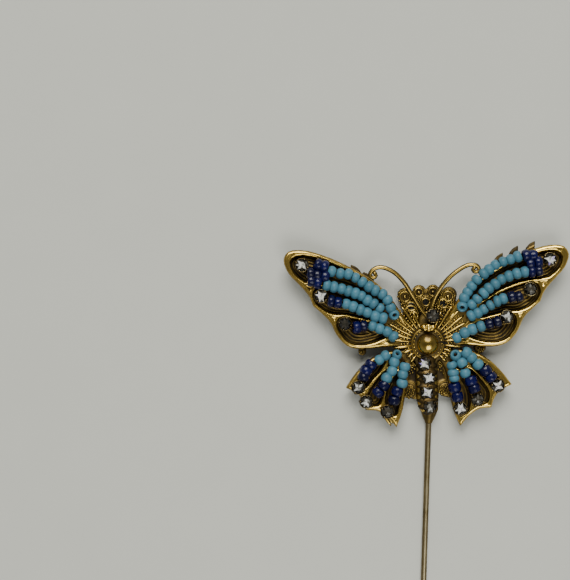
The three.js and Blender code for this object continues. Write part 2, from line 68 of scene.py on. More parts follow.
# Levels of the CAD layers and the bend of the wings, as in the part's source.
STAMPING_BOTTOM = 2.0
STAMPING_TOP = 2.8
STAMPING_MIDDLE = (STAMPING_BOTTOM + STAMPING_TOP) / 2
PLATE_BOTTOM = 1.25
PLATE_TOP = 1.75
PLATE_MIDDLE = (PLATE_BOTTOM + PLATE_TOP) / 2
BEAD_LEVEL = 3.81
HUB_HALF_WIDTH = 4.0
WING_SLOPE = math.tan(math.radians(4))
THORAX = Vector((0.3, 0.2, 0.0))
# The stem's turn about the upright axis, and where its middle line starts across the wings.
STEM_LEAN = math.radians(-3)
STEM_X = 1.2

# How full the ends of a bead are: cut short tubes of cobalt, rounder turquoise.
TURQUOISE_SHOULDER = 1.5
COBALT_SHOULDER = 0.62

# The camera looks straight down, turned a little. Its place is in metres.
CAMERA_PLACE = (-26.93 * MM, 11.12 * MM, 240 * MM)
CAMERA_TURN = math.radians(-1.2)
CAMERA_LENS = 76.5
TABLE_HALF_WIDTH = 1.5
TABLE_GAP = 0.02 * MM
# Each softbox faces the middle of the object: place and size in metres, watts and colour.
SOFTBOXES = (
    ("window_softbox", (-0.04, 1.0, 1.2), (1.0, 0.8), 23, (1, 0.99, 0.93)),
    ("front_softbox", (0.06, -0.3, 0.45), (0.32, 0.26), 0.95, (1, 1, 0.95)),
)

# Plan line of each bead row from its outer to its inner bead: bead count, points, and how far in
# degrees the inner bead stands up and shows its hole. These lines are the CAD's.
TURQUOISE_STRANDS = {
    "left_forewing_turquoise_upper_band": (
        (11, ((-17.8, 14.5), (-13.8, 13.3), (-10.6, 11.3), (-7.9, 9.4), (-6.1, 6.0)), 72),
        (9, ((-18.95, 11.85), (-15.4, 10.9), (-11.6, 9.1), (-8.8, 7.3)), 0),
    ),
    "left_forewing_turquoise_middle_row": (
        (6, ((-15.3, 8.3), (-11.7, 6.7), (-8.3, 5.3)), 0),
    ),
    "left_forewing_turquoise_lower_row": (
        (4, ((-10.35, 3.8), (-8.5, 3.3), (-6.3, 1.8)), 0),
    ),
    "left_hindwing_turquoise_outer_row": (
        (2, ((-9.3, -2.6), (-8.0, -1.7)), 0),
    ),
    "left_hindwing_turquoise_inner_rows": (
        (4, ((-7.8, -6.0), (-6.6, -4.6), (-6.3, -3.1), (-5.8, -1.6)), 60),
        (3, ((-4.9, -7.1), (-4.8, -5.7), (-4.3, -4.1)), 0),
    ),
    "right_forewing_turquoise_upper_band": (
        (11, ((17.6, 16.7), (13.3, 15.0), (9.9, 12.4), (8.0, 10.2), (6.9, 7.3)), 62),
        (9, ((18.7, 13.6), (14.6, 12.4), (11.4, 10.1), (8.9, 7.6)), 0),
    ),
    "right_forewing_turquoise_middle_row": (
        (6, ((14.7, 8.6), (12.6, 7.6), (8.6, 5.4)), 0),
    ),
    "right_forewing_turquoise_lower_row": (
        (4, ((10.4, 3.5), (8.4, 2.9), (5.9, 1.4)), 0),
    ),
    "right_hindwing_turquoise_outer_row": (
        (3, ((9.8, -3.9), (8.5, -2.6), (7.4, -1.6)), 0),
    ),
    "right_hindwing_turquoise_inner_rows": (
        (3, ((7.3, -5.5), (6.8, -3.6), (5.5, -2.0)), 60),
        (3, ((5.0, -6.6), (5.0, -5.2), (4.7, -4.0)), 0),
    ),
}
COBALT_STRANDS = {
    "left_forewing_cobalt_tip_cluster": (
        (2, ((-20.5, 15.8), (-19.2, 15.2)), 0),
        (3, ((-22.0, 14.2), (-19.3, 13.55)), 0),
        (2, ((-21.9, 12.7), (-20.6, 12.3)), 0),
    ),
    "left_forewing_cobalt_middle_pair": ((2, ((-18.2, 8.75), (-16.95, 8.45)), 0),),
    "left_forewing_cobalt_lower_pair": ((2, ((-13.5, 3.7), (-12.1, 3.8)), 0),),
    "left_hindwing_cobalt_outer_row": ((3, ((-12.3, -5.9), (-11.6, -4.7), (-10.8, -3.5)), 0),),
    "left_hindwing_cobalt_middle_row": ((2, ((-9.6, -8.7), (-8.5, -7.6)), 0),),
    "left_hindwing_cobalt_inner_row": ((2, ((-6.5, -10.4), (-5.9, -8.75)), 0),),
    "right_forewing_cobalt_tip_cluster": (
        (2, ((20.7, 16.7), (19.3, 16.65)), 0),
        (2, ((21.4, 15.25), (20.0, 15.15)), 0),
        (2, ((21.7, 13.8), (20.35, 13.6)), 0),
    ),
    "right_forewing_cobalt_middle_pair": ((2, ((17.7, 9.0), (16.35, 8.85)), 0),),
    "right_forewing_cobalt_lower_pair": ((2, ((13.4, 4.1), (12.05, 3.8)), 0),),
    "right_hindwing_cobalt_outer_row": ((2, ((12.1, -6.3), (11.0, -5.1)), 0),),
    "right_hindwing_cobalt_middle_row": ((2, ((9.0, -8.4), (8.35, -6.9)), 0),),
    "right_hindwing_cobalt_inner_row": ((2, ((5.7, -10.0), (5.3, -8.3)), 0),),
}

# How each cut stone stands in its cup: the turn of its star in degrees, how bright its painted
# flash is, and which of its eight star points carry the painted flash.
STONES = {
    "left_forewing_tip": (20, 0.95, (2, 3, 4, 6)),
    "left_forewing_middle": (5, 1.0, (0, 2, 3, 5, 6)),
    "left_forewing_lower": (30, 0.22, (1, 4)),
    "left_hindwing_outer": (15, 0.7, (0, 2, 4)),
    "left_hindwing_middle": (40, 0.85, (3, 5, 4)),
    "left_hindwing_inner": (10, 0.35, (2, 5)),
    "right_forewing_tip": (10, 1.0, (0, 5, 6, 7, 3)),
    "right_forewing_middle": (25, 0.4, (5, 6, 1)),
    "right_forewing_lower": (5, 0.75, (1, 3, 6)),
    "right_hindwing_outer": (35, 0.95, (0, 2, 4, 6)),
    "right_hindwing_middle": (20, 0.4, (1, 3, 5)),
    "right_hindwing_inner": (45, 1.0, (0, 1, 3, 4, 6)),
    "head": (0, 0.35, (1, 4, 6)),
    "abdomen_crystal_1": (15, 0.95, (2, 3, 4, 6)),
    "abdomen_crystal_2": (35, 1.0, (0, 2, 4, 6, 7)),
    "abdomen_crystal_3": (10, 1.0, (0, 2, 4, 6)),
    "abdomen_crystal_4": (0, 0.55, (5, 6)),
}
# The rings of a cut stone from its back to its table: radius, height and turn in facets.
STONE_CUT = ((1.06, 0, 0.5), (1.21, 0.28, 0.5), (0.62, 0.74, 0))
# Stones whose table edge carries a painted lilac glint.
PAINTED_LILAC_STONES = ("right_forewing_tip", "abdomen_crystal_1")

# Route of each antenna, from the head to the end of its curl.
LEFT_ANTENNA = (
    (0.3, 5.25, 3.14), (-0.7, 6.6, 3.14), (-2.3, 9.2, 3.4), (-4.1, 12.1, 3.9), (-6.2, 14.2, 4.1),
    (-8.6, 15.1, 4.1), (-10.2, 14.5, 4.1), (-10.6, 13.6, 4.0), (-10.0, 13.1, 3.95),
    (-9.4, 13.5, 3.95), (-9.7, 14.0, 4.0),
)
RIGHT_ANTENNA = (
    (0.3, 5.25, 3.14), (1.1, 6.9, 3.14), (1.9, 9.2, 3.4), (3.6, 11.8, 3.9), (6.0, 14.0, 4.1),
    (8.4, 15.2, 4.1), (9.9, 15.0, 4.1), (10.3, 14.3, 4.0), (9.7, 13.8, 3.95), (9.1, 14.2, 3.95),
    (9.4, 14.7, 4.0),
)

# The fan of ribs round the hub: angle from +X in degrees and outer radius. Left mirrors right.
FAN_RIBS = (
    (66, 6.9), (56, 8.9), (46, 9.5), (37, 8.8), (28, 8.5), (18, 7.2), (8, 8.0), (-6, 6.6),
    (-19, 5.2), (-32, 4.9), (-45, 5.0),
)
# Rows of grains between the ribs: angle, inner and outer radius.
GRAIN_ROWS = (
    (61, 4.8, 8.0), (51, 4.6, 8.9), (41, 4.3, 8.4), (32, 4.2, 8.0), (23, 4.1, 7.2),
    (13, 4.0, 5.8), (1, 3.9, 5.4), (-13, 3.8, 4.9), (-26, 3.7, 4.7), (-39, 3.7, 4.7),
)
# Clusters of fine grains on the filigree plate: middle, radius and count.
GRAIN_CLUSTERS = (
    (-3.5, -9.0, 1.3, 26), (3.7, -8.9, 1.3, 26), (-2.9, -4.4, 1.2, 16), (3.3, -4.4, 1.3, 18),
    (2.9, 6.6, 1.1, 14), (-0.4, 6.6, 0.8, 9), (-3.2, 4.2, 0.6, 6), (5.2, 7.0, 0.7, 7),
    (10.45, -1.2, 0.65, 9), (-12.3, -1.3, 0.5, 5), (-2.4, 8.75, 0.45, 5), (-1.3, 8.9, 0.6, 7),
    (1.4, 8.8, 0.6, 7), (2.9, 9.3, 0.6, 7), (1.9, 7.3, 0.7, 9), (-1.2, 7.4, 0.5, 6),
    (5.0, 7.9, 0.5, 6), (-4.0, 7.9, 0.6, 7),
)
# Height over the middle and rise per millimetre outwards of the line that the leaf points pass.
LEAF_LINE = (7.2, 0.55)
# Slivers torn from the plate beside the inner tip of the left hindwing: root, tip and half width.
TORN_SLIVERS = (
    ((-8.9, -12.5, 1.8), (-7.0, -15.5, 1.8), 0.34), ((-8.1, -12.9, 1.8), (-6.7, -15.1, 2.0), 0.26),
)
# Small lobes of the plate beside the abdomen, and the rings on its rosette: middle and radius.
CORNER_LOBES = ((-3.5, -8.9, 1.4), (3.7, -8.8, 1.4))
ROSETTE_RINGS = (
    (-3.8, 9.35, 0.95), (-1.1, 10.15, 0.8), (1.6, 10.15, 0.8), (4.5, 9.25, 0.95),
    (-2.6, 7.45, 0.85), (0.2, 8.2, 0.75), (3.6, 7.9, 0.85),
)
# The ring-and-ball flower beside the head: middle, half width, half length and wire radius.
FLOWER_RINGS = (((-2.7, 5.8, 2.1), 1.4, 1.8, 0.2), ((-2.25, 5.55, 2.35), 0.78, 0.82, 0.26))
FLOWER_BALL = (-2.25, 5.5, 2.4)
# Bright bumps of the head: middle and radius.
HEAD_BUMPS = (
    (-0.45, 3.5, 0.5), (0.42, 3.62, 0.5), (1.28, 3.45, 0.5), (0.45, 2.95, 0.46),
    (-0.25, 2.95, 0.3), (1.1, 2.95, 0.3),
)


def linear(code):
    """An sRGB hex colour as linear RGBA."""
    channels = [int(code[i:i + 2], 16) / 255 for i in (1, 3, 5)]
    tones = [c / 12.92 if c <= 0.04045 else ((c + 0.055) / 1.055) ** 2.4 for c in channels]
    return (*tones, 1.0)


class HairPinSizes(PropertyGroup):
    """Sizes of the beads, the relief and the decoration."""

    turquoise_radius: FloatProperty(
        name="Turquoise Bead Radius", description="Outer radius of a turquoise bead",
        default=1.07 * MM, min=0.3 * MM, unit="LENGTH", precision=5)
    cobalt_radius: FloatProperty(
        name="Cobalt Bead Radius", description="Outer radius of a cobalt bead",
        default=1.18 * MM, min=0.3 * MM, unit="LENGTH", precision=5)
    hole_radius: FloatProperty(
        name="Bead Hole Radius", description="Radius of the hole through every bead",
        default=0.3 * MM, min=0.1 * MM, unit="LENGTH", precision=5)
    roll_height: FloatProperty(
        name="Rim Height", description="Height of the rolled rims and veins over the flat sheet",
        default=0.5 * MM, min=0.0, unit="LENGTH", precision=5)
    roll_reach: FloatProperty(
        name="Rim Reach", description="Distance from an edge to the crest of its rim",
        default=0.62 * MM, min=0.1 * MM, unit="LENGTH", precision=5)
    scroll_pitch: FloatProperty(
        name="Scroll Pitch", description="Distance between the nested scroll lines",
        default=0.62 * MM, min=0.3 * MM, unit="LENGTH", precision=5)
    grain_radius: FloatProperty(
        name="Grain Radius", description="Radius of the round grains between the ribs",
        default=0.21 * MM, min=0.05 * MM, unit="LENGTH", precision=5)


class HairPinFinish(PropertyGroup):
    """Colours of the metal, glass and table."""

    # Gilt is also the colour of the painted highlights on crests and upward faces.
    gilt: FloatVectorProperty(
        name="Gilt", description="Rubbed crests of the brass", subtype="COLOR", size=4,
        min=0.0, max=1.0, default=linear("#FFD970"))
    brass: FloatVectorProperty(
        name="Brass", description="Toned brass between crest and recess", subtype="COLOR", size=4,
        min=0.0, max=1.0, default=linear("#B8994E"))
    # Umber is also the colour of the painted shade on flanks and in recesses.
    umber: FloatVectorProperty(
        name="Umber", description="Antique patina in the recesses", subtype="COLOR", size=4,
        min=0.0, max=1.0, default=linear("#1C170C"))
    turquoise: FloatVectorProperty(
        name="Turquoise", description="Opaque turquoise glass", subtype="COLOR", size=4,
        min=0.0, max=1.0, default=linear("#497F94"))
    cobalt: FloatVectorProperty(
        name="Cobalt", description="Deep blue glass", subtype="COLOR", size=4,
        min=0.0, max=1.0, default=linear("#02042C"))
    table: FloatVectorProperty(
        name="Table", description="Pale table top", subtype="COLOR", size=4,
        min=0.0, max=1.0, default=linear("#D6D8D1"))


# ---- Making shapes ---------------------------------------------------------------------------

def lift(x):
    """How much the bent-up wing has risen at a distance from the middle."""
    return WING_SLOPE * max(0.0, abs(x) - HUB_HALF_WIDTH)


def around(angle, reach=1.0, side=1):
    """The place at a reach from the middle, at an angle from +X, or from -X on side -1."""
    return Vector((side * reach * math.cos(angle), reach * math.sin(angle), 0))


def cad_copy(name):
    """A CAD node's shape in millimetres, its loose triangles joined."""
    bm = bmesh.new()
    bm.from_mesh(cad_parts[name].data)
    bmesh.ops.scale(bm, vec=Vector((1, 1, 1)) / MM, verts=bm.verts)
    bmesh.ops.remove_doubles(bm, verts=bm.verts, dist=WELD)
    return bm


def cad_middle(name):
    """The middle of a CAD node's box and its lowest level, in millimetres."""
    low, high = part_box(name)
    middle = (low + high) / (2 * MM)
    return middle.x, middle.y, low.z / MM


def append(bm, part, placing=Matrix()):
    """Adds a placed copy of one shape to another and returns its corners."""
    carrier = bpy.data.meshes.new("part")
    part.to_mesh(carrier)
    carrier.transform(placing)
    first = len(bm.verts)
    bm.from_mesh(carrier)
    bpy.data.meshes.remove(carrier)
    bm.verts.ensure_lookup_table()
    return bm.verts[first:]


def spun(profile, steps):
    """Turns a line of (radius, height) points round the upright axis into a closed shape."""
    part = bmesh.new()
    line = [part.verts.new((radius, 0, height)) for radius, height in profile]
    edges = [part.edges.new(pair) for pair in zip(line, line[1:])]
    bmesh.ops.spin(
        part, geom=line + edges, cent=(0, 0, 0), axis=(0, 0, 1), dvec=(0, 0, 0),
        angle=math.tau, steps=steps, use_merge=True)
    bmesh.ops.remove_doubles(part, verts=part.verts, dist=WELD)
    bmesh.ops.recalc_face_normals(part, faces=part.faces)
    return part


def remeshed(bm, voxel, passes):
    """Runs overlapping solids together into one skin with softened edges."""
    mesh = bpy.data.meshes.new("blank")
    bm.to_mesh(mesh)
    bm.free()
    blank = bpy.data.objects.new("blank", mesh)
    bpy.context.scene.collection.objects.link(blank)
    remesh = blank.modifiers.new("Remesh", "REMESH")
    remesh.mode = "VOXEL"
    remesh.voxel_size = voxel
    remesh.adaptivity = 0.0
    shaped = blank.evaluated_get(bpy.context.evaluated_depsgraph_get())
    skin = bmesh.new()
    skin.from_mesh(shaped.to_mesh())
    shaped.to_mesh_clear()
    bpy.data.objects.remove(blank)
    bpy.data.meshes.remove(mesh)
    for _ in range(passes):
        bmesh.ops.smooth_vert(
            skin, verts=skin.verts, factor=0.5, use_axis_x=True, use_axis_y=True, use_axis_z=True)
    return skin


def smooth_line(points, density=12):
    """Points along a centripetal curve through a few points."""
    knots = [Vector(p) for p in points]
    knots = [2 * knots[0] - knots[1], *knots, 2 * knots[-1] - knots[-2]]
    line = []
    for a, b, c, d in zip(knots, knots[1:], knots[2:], knots[3:]):
        ta = -math.sqrt((b - a).length)
        tc = math.sqrt((c - b).length)
        td = tc + math.sqrt((d - c).length)
        for i in range(density):
            t = tc * i / density
            ab = a.lerp(b, (t - ta) / -ta)
            bc = b.lerp(c, t / tc)
            cd = c.lerp(d, (t - tc) / (td - tc))
            abc = ab.lerp(bc, (t - ta) / (tc - ta))
            bcd = bc.lerp(cd, t / td)
            line.append(abc.lerp(bcd, t / tc))
    line.append(knots[-2])
    return line


def spaced(line, count):
    """Evenly spaced places along a line, the line's direction at each, and its length."""
    marks = [0.0]
    for start, end in zip(line, line[1:]):
        marks.append(marks[-1] + (end - start).length)
    places, headings, at = [], [], 0
    for i in range(count):
        target = marks[-1] * i / (count - 1)
        while at < len(line) - 2 and marks[at + 1] < target:
            at += 1
        share = (target - marks[at]) / (marks[at + 1] - marks[at])
        places.append(line[at].lerp(line[at + 1], share))
        headings.append((line[at + 1] - line[at]).normalized())
    return places, headings, marks[-1]


def add_wire(bm, line, radii, roundness=3):
    """Lays a closed round wire along a line, as thick at each point as its radii say."""
    curve = bpy.data.curves.new("wire", "CURVE")
    curve.dimensions = "3D"
    curve.bevel_depth = 1.0
    curve.bevel_resolution = roundness
    curve.use_fill_caps = True
    spline = curve.splines.new("POLY")
    spline.points.add(len(line) - 1)
    for point, place, radius in zip(spline.points, line, radii):
        point.co = (*place, 1.0)
        point.radius = radius
    carrier = bpy.data.objects.new("wire", curve)
    part = bmesh.new()
    part.from_mesh(carrier.to_mesh())
    bmesh.ops.remove_doubles(part, verts=part.verts, dist=WELD)
    bmesh.ops.recalc_face_normals(part, faces=part.faces)
    bpy.data.objects.remove(carrier)
    bpy.data.curves.remove(curve)
    return append(bm, part)


def add_ball(bm, place, radius, segments=8, rings=5):
    """Adds a round grain, bump or ball."""
    bmesh.ops.create_uvsphere(
        bm, u_segments=segments, v_segments=rings, radius=radius, matrix=Matrix.Translation(place))


def tapered(count, start, middle, end):
    """Radii of a wire that swells from start to middle and thins to end."""
    radii = []
    for i in range(count):
        t = 2 * i / (count - 1) - 1
        near = start if t < 0 else end
        radii.append(middle + (near - middle) * t * t)
    return radii


def along_stem(start, level):
    """The placing that lays a turned shape along the leaning stem, its top at the start."""
    return (
        Matrix.Translation((STEM_X, 0, level)) @ Matrix.Rotation(STEM_LEAN, 4, "Z")
        @ Matrix.Translation((0, start, 0)) @ Matrix.Rotation(math.radians(-90), 4, "X"))


def walls_of(bm):
    """The upright faces of a plate, which tell how far a point lies from its nearest edge."""
    upright = bm.copy()
    flat = [face for face in upright.faces if abs(face.normal.z) > 0.5]
    bmesh.ops.delete(upright, geom=flat, context="FACES")
    return BVHTree.FromBMesh(upright)


def wear_and_light_layer(bm):
    """The layer that sets how bright a corner of the metal is, from 0 in a recess to 1: partly
    rubbed wear and patina, partly painted highlight and painted shade.
    """
    return bm.verts.layers.float.get("crest") or bm.verts.layers.float.new("crest")


def new_metal():
    """An empty shape that has its crest layer."""
    bm = bmesh.new()
    wear_and_light_layer(bm)
    return bm


def rub_and_light_by_slope(bm, corners, low=0.25, high=1.0, narrow=1.5):
    """Marks upward-facing metal bright and its flanks dark: partly rubbed wear, partly painted
    highlight from the light above and painted shade on the flanks. Narrow tightens the highlight.
    """
    crest = wear_and_light_layer(bm)
    bm.normal_update()
    for vert in corners:
        vert[crest] = low + (high - low) * max(0.0, vert.normal.z) ** narrow


def roll(distance, reach, height, web):
    """Height of a rolled rim at a distance from the edge: a round crest, then a lower web."""
    if distance < reach:
        return height * math.sqrt(1 - (1 - distance / reach) ** 2)
    fall = min((distance - reach) / (1.3 * reach), 1.0)
    return height + (web - height) * fall * fall * (3 - 2 * fall)


def finish_piece(bm, name, slot, replaced, *materials):
    """Turns a shape into a finished object in metres that rides on the frame."""
    bmesh.ops.scale(bm, vec=Vector((MM, MM, MM)), verts=bm.verts)
    mesh = bpy.data.meshes.new(name)
    bm.to_mesh(mesh)
    bm.free()
    mesh.shade_smooth()
    piece = bpy.data.objects.new(name, mesh)
    bpy.context.scene.collection.objects.link(piece)
    for material in materials:
        mesh.materials.append(material)
    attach(piece, "root")
    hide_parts(*replaced)
    return piece


# ---- Materials -------------------------------------------------------------------------------

def add_node(tree, kind, settings=(), inputs=(), stops=()):
    """Adds a node with its settings, its ramp stops and its inputs, each a value or a link."""
    node = tree.nodes.new(kind)
    for name, value in dict(settings).items():
        setattr(node, name, value)
    for i, (place, colour) in enumerate(stops):
        ramp = node.color_ramp.elements
        element = ramp[i] if i < 2 else ramp.new(place)
        element.position = place
        element.color = colour
    for name, value in dict(inputs).items():
        if isinstance(value, bpy.types.NodeSocket):
            tree.links.new(value, node.inputs[name])
        else:
            node.inputs[name].default_value = value
    return node


def shared_material(name, build, **settings):
    """The material of a name, made once. Build is given the tree and the place of each point on
    the object, adds its nodes and returns the shader."""
    material = bpy.data.materials.get(name)
    if material is None:
        material = bpy.data.materials.new(name)
        material.use_nodes = True
        tree = material.node_tree
        tree.nodes.clear()
        place = add_node(tree, "ShaderNodeTexCoord").outputs["Object"]
        shader = build(tree, place, **settings)
        add_node(tree, "ShaderNodeOutputMaterial", inputs={"Surface": shader.outputs[0]})
    return material


def per_mm(size):
    """Texture scale for a feature of a size in millimetres."""
    return 1 / (size * MM)


def toned(colour, share):
    """A colour made darker or lighter."""
    return (*(channel * share for channel in colour[:3]), 1.0)


def between(dark, light, share):
    """The tone at a share of the way from a dark colour to a light one."""
    return tuple(d + (b - d) * share for d, b in zip(dark, light))


def struck_brass(tree, place, gilt, brass, umber, dull, polish, wear_shift=0.0):
    """Struck or drawn brass with an antique patina: the crests are rubbed bright, the recesses
    are brown, and the same crest mark also paints highlight and shade where light falls; a fine
    tooth from the die and handling keeps the highlights soft. Dull and polish are the roughness of
    the recesses and crests."""
    stain_spread, stain_middle = 0.8, 0.42
    crest = add_node(tree, "ShaderNodeAttribute", {"attribute_name": "crest"}).outputs["Fac"]
    stain = add_node(tree, "ShaderNodeTexNoise", inputs={
        "Vector": place, "Scale": per_mm(2.6), "Detail": 3.0, "Roughness": 0.55})
    tooth = add_node(tree, "ShaderNodeTexNoise", inputs={
        "Vector": place, "Scale": per_mm(0.28), "Detail": 2.0})
    stained = add_node(tree, "ShaderNodeMath", {"operation": "MULTIPLY_ADD"}, {
        0: stain.outputs["Fac"], 1: stain_spread, 2: crest})
    wear = add_node(tree, "ShaderNodeMath", {"operation": "ADD", "use_clamp": True}, {
        0: stained.outputs[0], 1: wear_shift - stain_middle})
    # The ramp from umber to gilt gives patina and rubbed wear, and also painted shade and painted
    # highlight.
    colour = add_node(tree, "ShaderNodeValToRGB", inputs={"Fac": wear.outputs[0]}, stops=(
        (0.0, umber), (0.98, gilt), (0.3, between(umber, brass, 0.4)), (0.62, brass)))
    rough = add_node(tree, "ShaderNodeMapRange", inputs={
        "Value": wear.outputs[0], "To Min": dull, "To Max": polish})
    metal = add_node(tree, "ShaderNodeMapRange", inputs={
        "Value": wear.outputs[0], "From Max": 0.5, "To Min": 0.55, "To Max": 1.0})
    bump = add_node(tree, "ShaderNodeBump", inputs={
        "Height": tooth.outputs["Fac"], "Strength": 0.3, "Distance": 0.02 * MM})
    return add_node(tree, "ShaderNodeBsdfPrincipled", inputs={
        "Base Color": colour.outputs["Color"], "Roughness": rough.outputs[0],
        "Metallic": metal.outputs[0], "Normal": bump.outputs["Normal"]})


def front_brass():
    """Die-struck sheet brass of the front: gilt where hands rub it, umber in its recesses."""
    colours = bpy.context.scene.hair_pin_finish
    return shared_material(
        "antique_struck_brass", struck_brass, gilt=tuple(colours.gilt),
        brass=tuple(colours.brass), umber=tuple(colours.umber), dull=0.5, polish=0.16)


def back_brass():
    """Die-struck sheet brass of the filigree and pad, out of reach: darker and duller."""
    gilt = tuple(bpy.context.scene.hair_pin_finish.gilt)
    return shared_material(
        "toned_filigree_brass", struck_brass, gilt=gilt, brass=linear("#8E763F"),
        umber=linear("#1A1208"), dull=0.55, polish=0.24, wear_shift=-0.04)


def polished_brass():
    """Burnished brass of the dome: smooth enough to mirror the lamps, turning brown on the side
    towards the head, where its tone is painted darker as shade.
    """
    gilt = tuple(bpy.context.scene.hair_pin_finish.gilt)
    return shared_material(
        "polished_rivet_brass", struck_brass, gilt=gilt, brass=linear("#BFA352"),
        umber=linear("#3A2812"), dull=0.3, polish=0.14, wear_shift=-0.05)


def cup_metal():
    """Pressed and thinly plated brass of the stone cups, tarnished: nearly black inside and pale on
    its rims, the dark walls and pale rims painted as shade and highlight by slope.
    """
    return shared_material(
        "tarnished_plated_cups", struck_brass, gilt=linear("#D8C99A"), brass=linear("#6E5A35"),
        umber=linear("#15110B"), dull=0.5, polish=0.28, wear_shift=-0.1)


def stem_metal():
    """Drawn brass wire gone grey-brown with handling, lighter along its top as a little rubbed wear
    and a painted highlight, darker on its sides as painted shade.
    """
    return shared_material(
        "tarnished_drawn_stem", struck_brass, gilt=linear("#CDBF98"), brass=linear("#8E7C56"),
        umber=linear("#2A2115"), dull=0.5, polish=0.3)


def bead_wire():
    """Thin drawn brass wire, browned with age, which shows only between the beads."""
    return shared_material(
        "browned_bead_wire", struck_brass, gilt=linear("#B98F45"), brass=linear("#6B4A20"),
        umber=linear("#20140A"), dull=0.5, polish=0.35)


def turquoise_glass(tree, place):
    """Opaque pressed turquoise glass: even colour with a slight swirl, a soft satin gloss, and
    each bead a little lighter or darker than its neighbour."""
    base = bpy.context.scene.hair_pin_finish.turquoise
    tint = add_node(tree, "ShaderNodeAttribute", {"attribute_name": "tint"}).outputs["Fac"]
    swirl = add_node(tree, "ShaderNodeTexNoise", inputs={
        "Vector": place, "Scale": per_mm(0.9), "Detail": 2.0, "Distortion": 0.6})
    mixed = add_node(tree, "ShaderNodeMath", {"operation": "MULTIPLY_ADD", "use_clamp": True}, {
        0: swirl.outputs["Fac"], 1: 0.3, 2: tint})
    colour = add_node(tree, "ShaderNodeValToRGB", inputs={"Fac": mixed.outputs[0]}, stops=(
        (0.1, toned(base, 0.8)), (1.0, toned(base, 1.16))))
    ripple = add_node(tree, "ShaderNodeBump", inputs={
        "Height": swirl.outputs["Fac"], "Strength": 0.3, "Distance": 0.03 * MM})
    return add_node(tree, "ShaderNodeBsdfPrincipled", inputs={
        "Base Color": colour.outputs["Color"], "Roughness": 0.46, "IOR": 1.5,
        "Specular IOR Level": 0.4, "Normal": ripple.outputs["Normal"]})


def cobalt_glass(tree, place):
    """Clear drawn cobalt glass: nearly black blue in its depth, brighter blue where it is thin,
    with a glossy rippled skin that breaks the highlights."""
    base = tuple(bpy.context.scene.hair_pin_finish.cobalt)
    tint = add_node(tree, "ShaderNodeAttribute", {"attribute_name": "tint"}).outputs["Fac"]
    seed = add_node(tree, "ShaderNodeTexNoise", inputs={
        "Vector": place, "Scale": per_mm(0.6), "Detail": 2.0})
    depth = add_node(tree, "ShaderNodeMath", {"operation": "MULTIPLY", "use_clamp": True}, {
        0: tint, 1: seed.outputs["Fac"]})
    colour = add_node(tree, "ShaderNodeValToRGB", inputs={"Fac": depth.outputs[0]}, stops=(
        (0.1, base), (0.6, linear("#050958"))))
    ripple = add_node(tree, "ShaderNodeBump", inputs={
        "Height": seed.outputs["Fac"], "Strength": 0.8, "Distance": 0.1 * MM})
    return add_node(tree, "ShaderNodeBsdfPrincipled", inputs={
        "Base Color": colour.outputs["Color"], "Roughness": 0.25, "IOR": 1.5,
        "Specular IOR Level": 0.42, "Normal": ripple.outputs["Normal"]})


def foiled_crystal(tree, place):
    """Cut and polished glass over a silver foil, with its reflections painted: the facets listed as
    flashing are painted white, the others painted with the dark of the cup, and two stones carry a
    painted lilac glint."""
    painted_flash = add_node(tree, "ShaderNodeAttribute", {"attribute_name": "painted_flash"}).outputs["Fac"]
    fleck = add_node(tree, "ShaderNodeTexNoise", inputs={
        "Vector": place, "Scale": per_mm(0.6), "Detail": 2.0})
    broken = add_node(tree, "ShaderNodeMath", {"operation": "MULTIPLY_ADD"}, {
        0: fleck.outputs["Fac"], 1: 1.5, 2: 0.2})
    level = add_node(tree, "ShaderNodeMath", {"operation": "MULTIPLY", "use_clamp": True}, {
        0: broken.outputs[0], 1: painted_flash})
    # The tones of the painted reflections: dark cup, grey, white flash and lilac glint.
    colour = add_node(tree, "ShaderNodeValToRGB", inputs={"Fac": level.outputs[0]}, stops=(
        (0.0, linear("#0D0C0A")), (1.0, linear("#B9A6F2")), (0.3, linear("#4A463C")),
        (0.6, linear("#C4C6C2")), (0.78, linear("#F7F7F2")), (0.96, linear("#F7F7F2"))))
    return add_node(tree, "ShaderNodeBsdfPrincipled", inputs={
        "Base Color": colour.outputs["Color"], "Roughness": 0.12, "IOR": 1.55,
        "Coat Weight": 1.0, "Coat Roughness": 0.03})


def table_top(tree, place):
    """Pressed matt laminate of the table: pale warm grey with a faint mottling."""
    base = bpy.context.scene.hair_pin_finish.table
    mottle = add_node(tree, "ShaderNodeTexNoise", inputs={
        "Vector": place, "Scale": per_mm(14.0), "Detail": 5.0, "Roughness": 0.6})
    colour = add_node(tree, "ShaderNodeValToRGB", inputs={"Fac": mottle.outputs["Fac"]}, stops=(
        (0.3, toned(base, 0.985)), (0.7, toned(base, 1.01))))
    grain = add_node(tree, "ShaderNodeBump", inputs={
        "Height": mottle.outputs["Fac"], "Strength": 0.1, "Distance": 0.05 * MM})
    return add_node(tree, "ShaderNodeBsdfPrincipled", inputs={
        "Base Color": colour.outputs["Color"], "Roughness": 0.75,
        "Normal": grain.outputs["Normal"]})


# ---- Operators -------------------------------------------------------------------------------

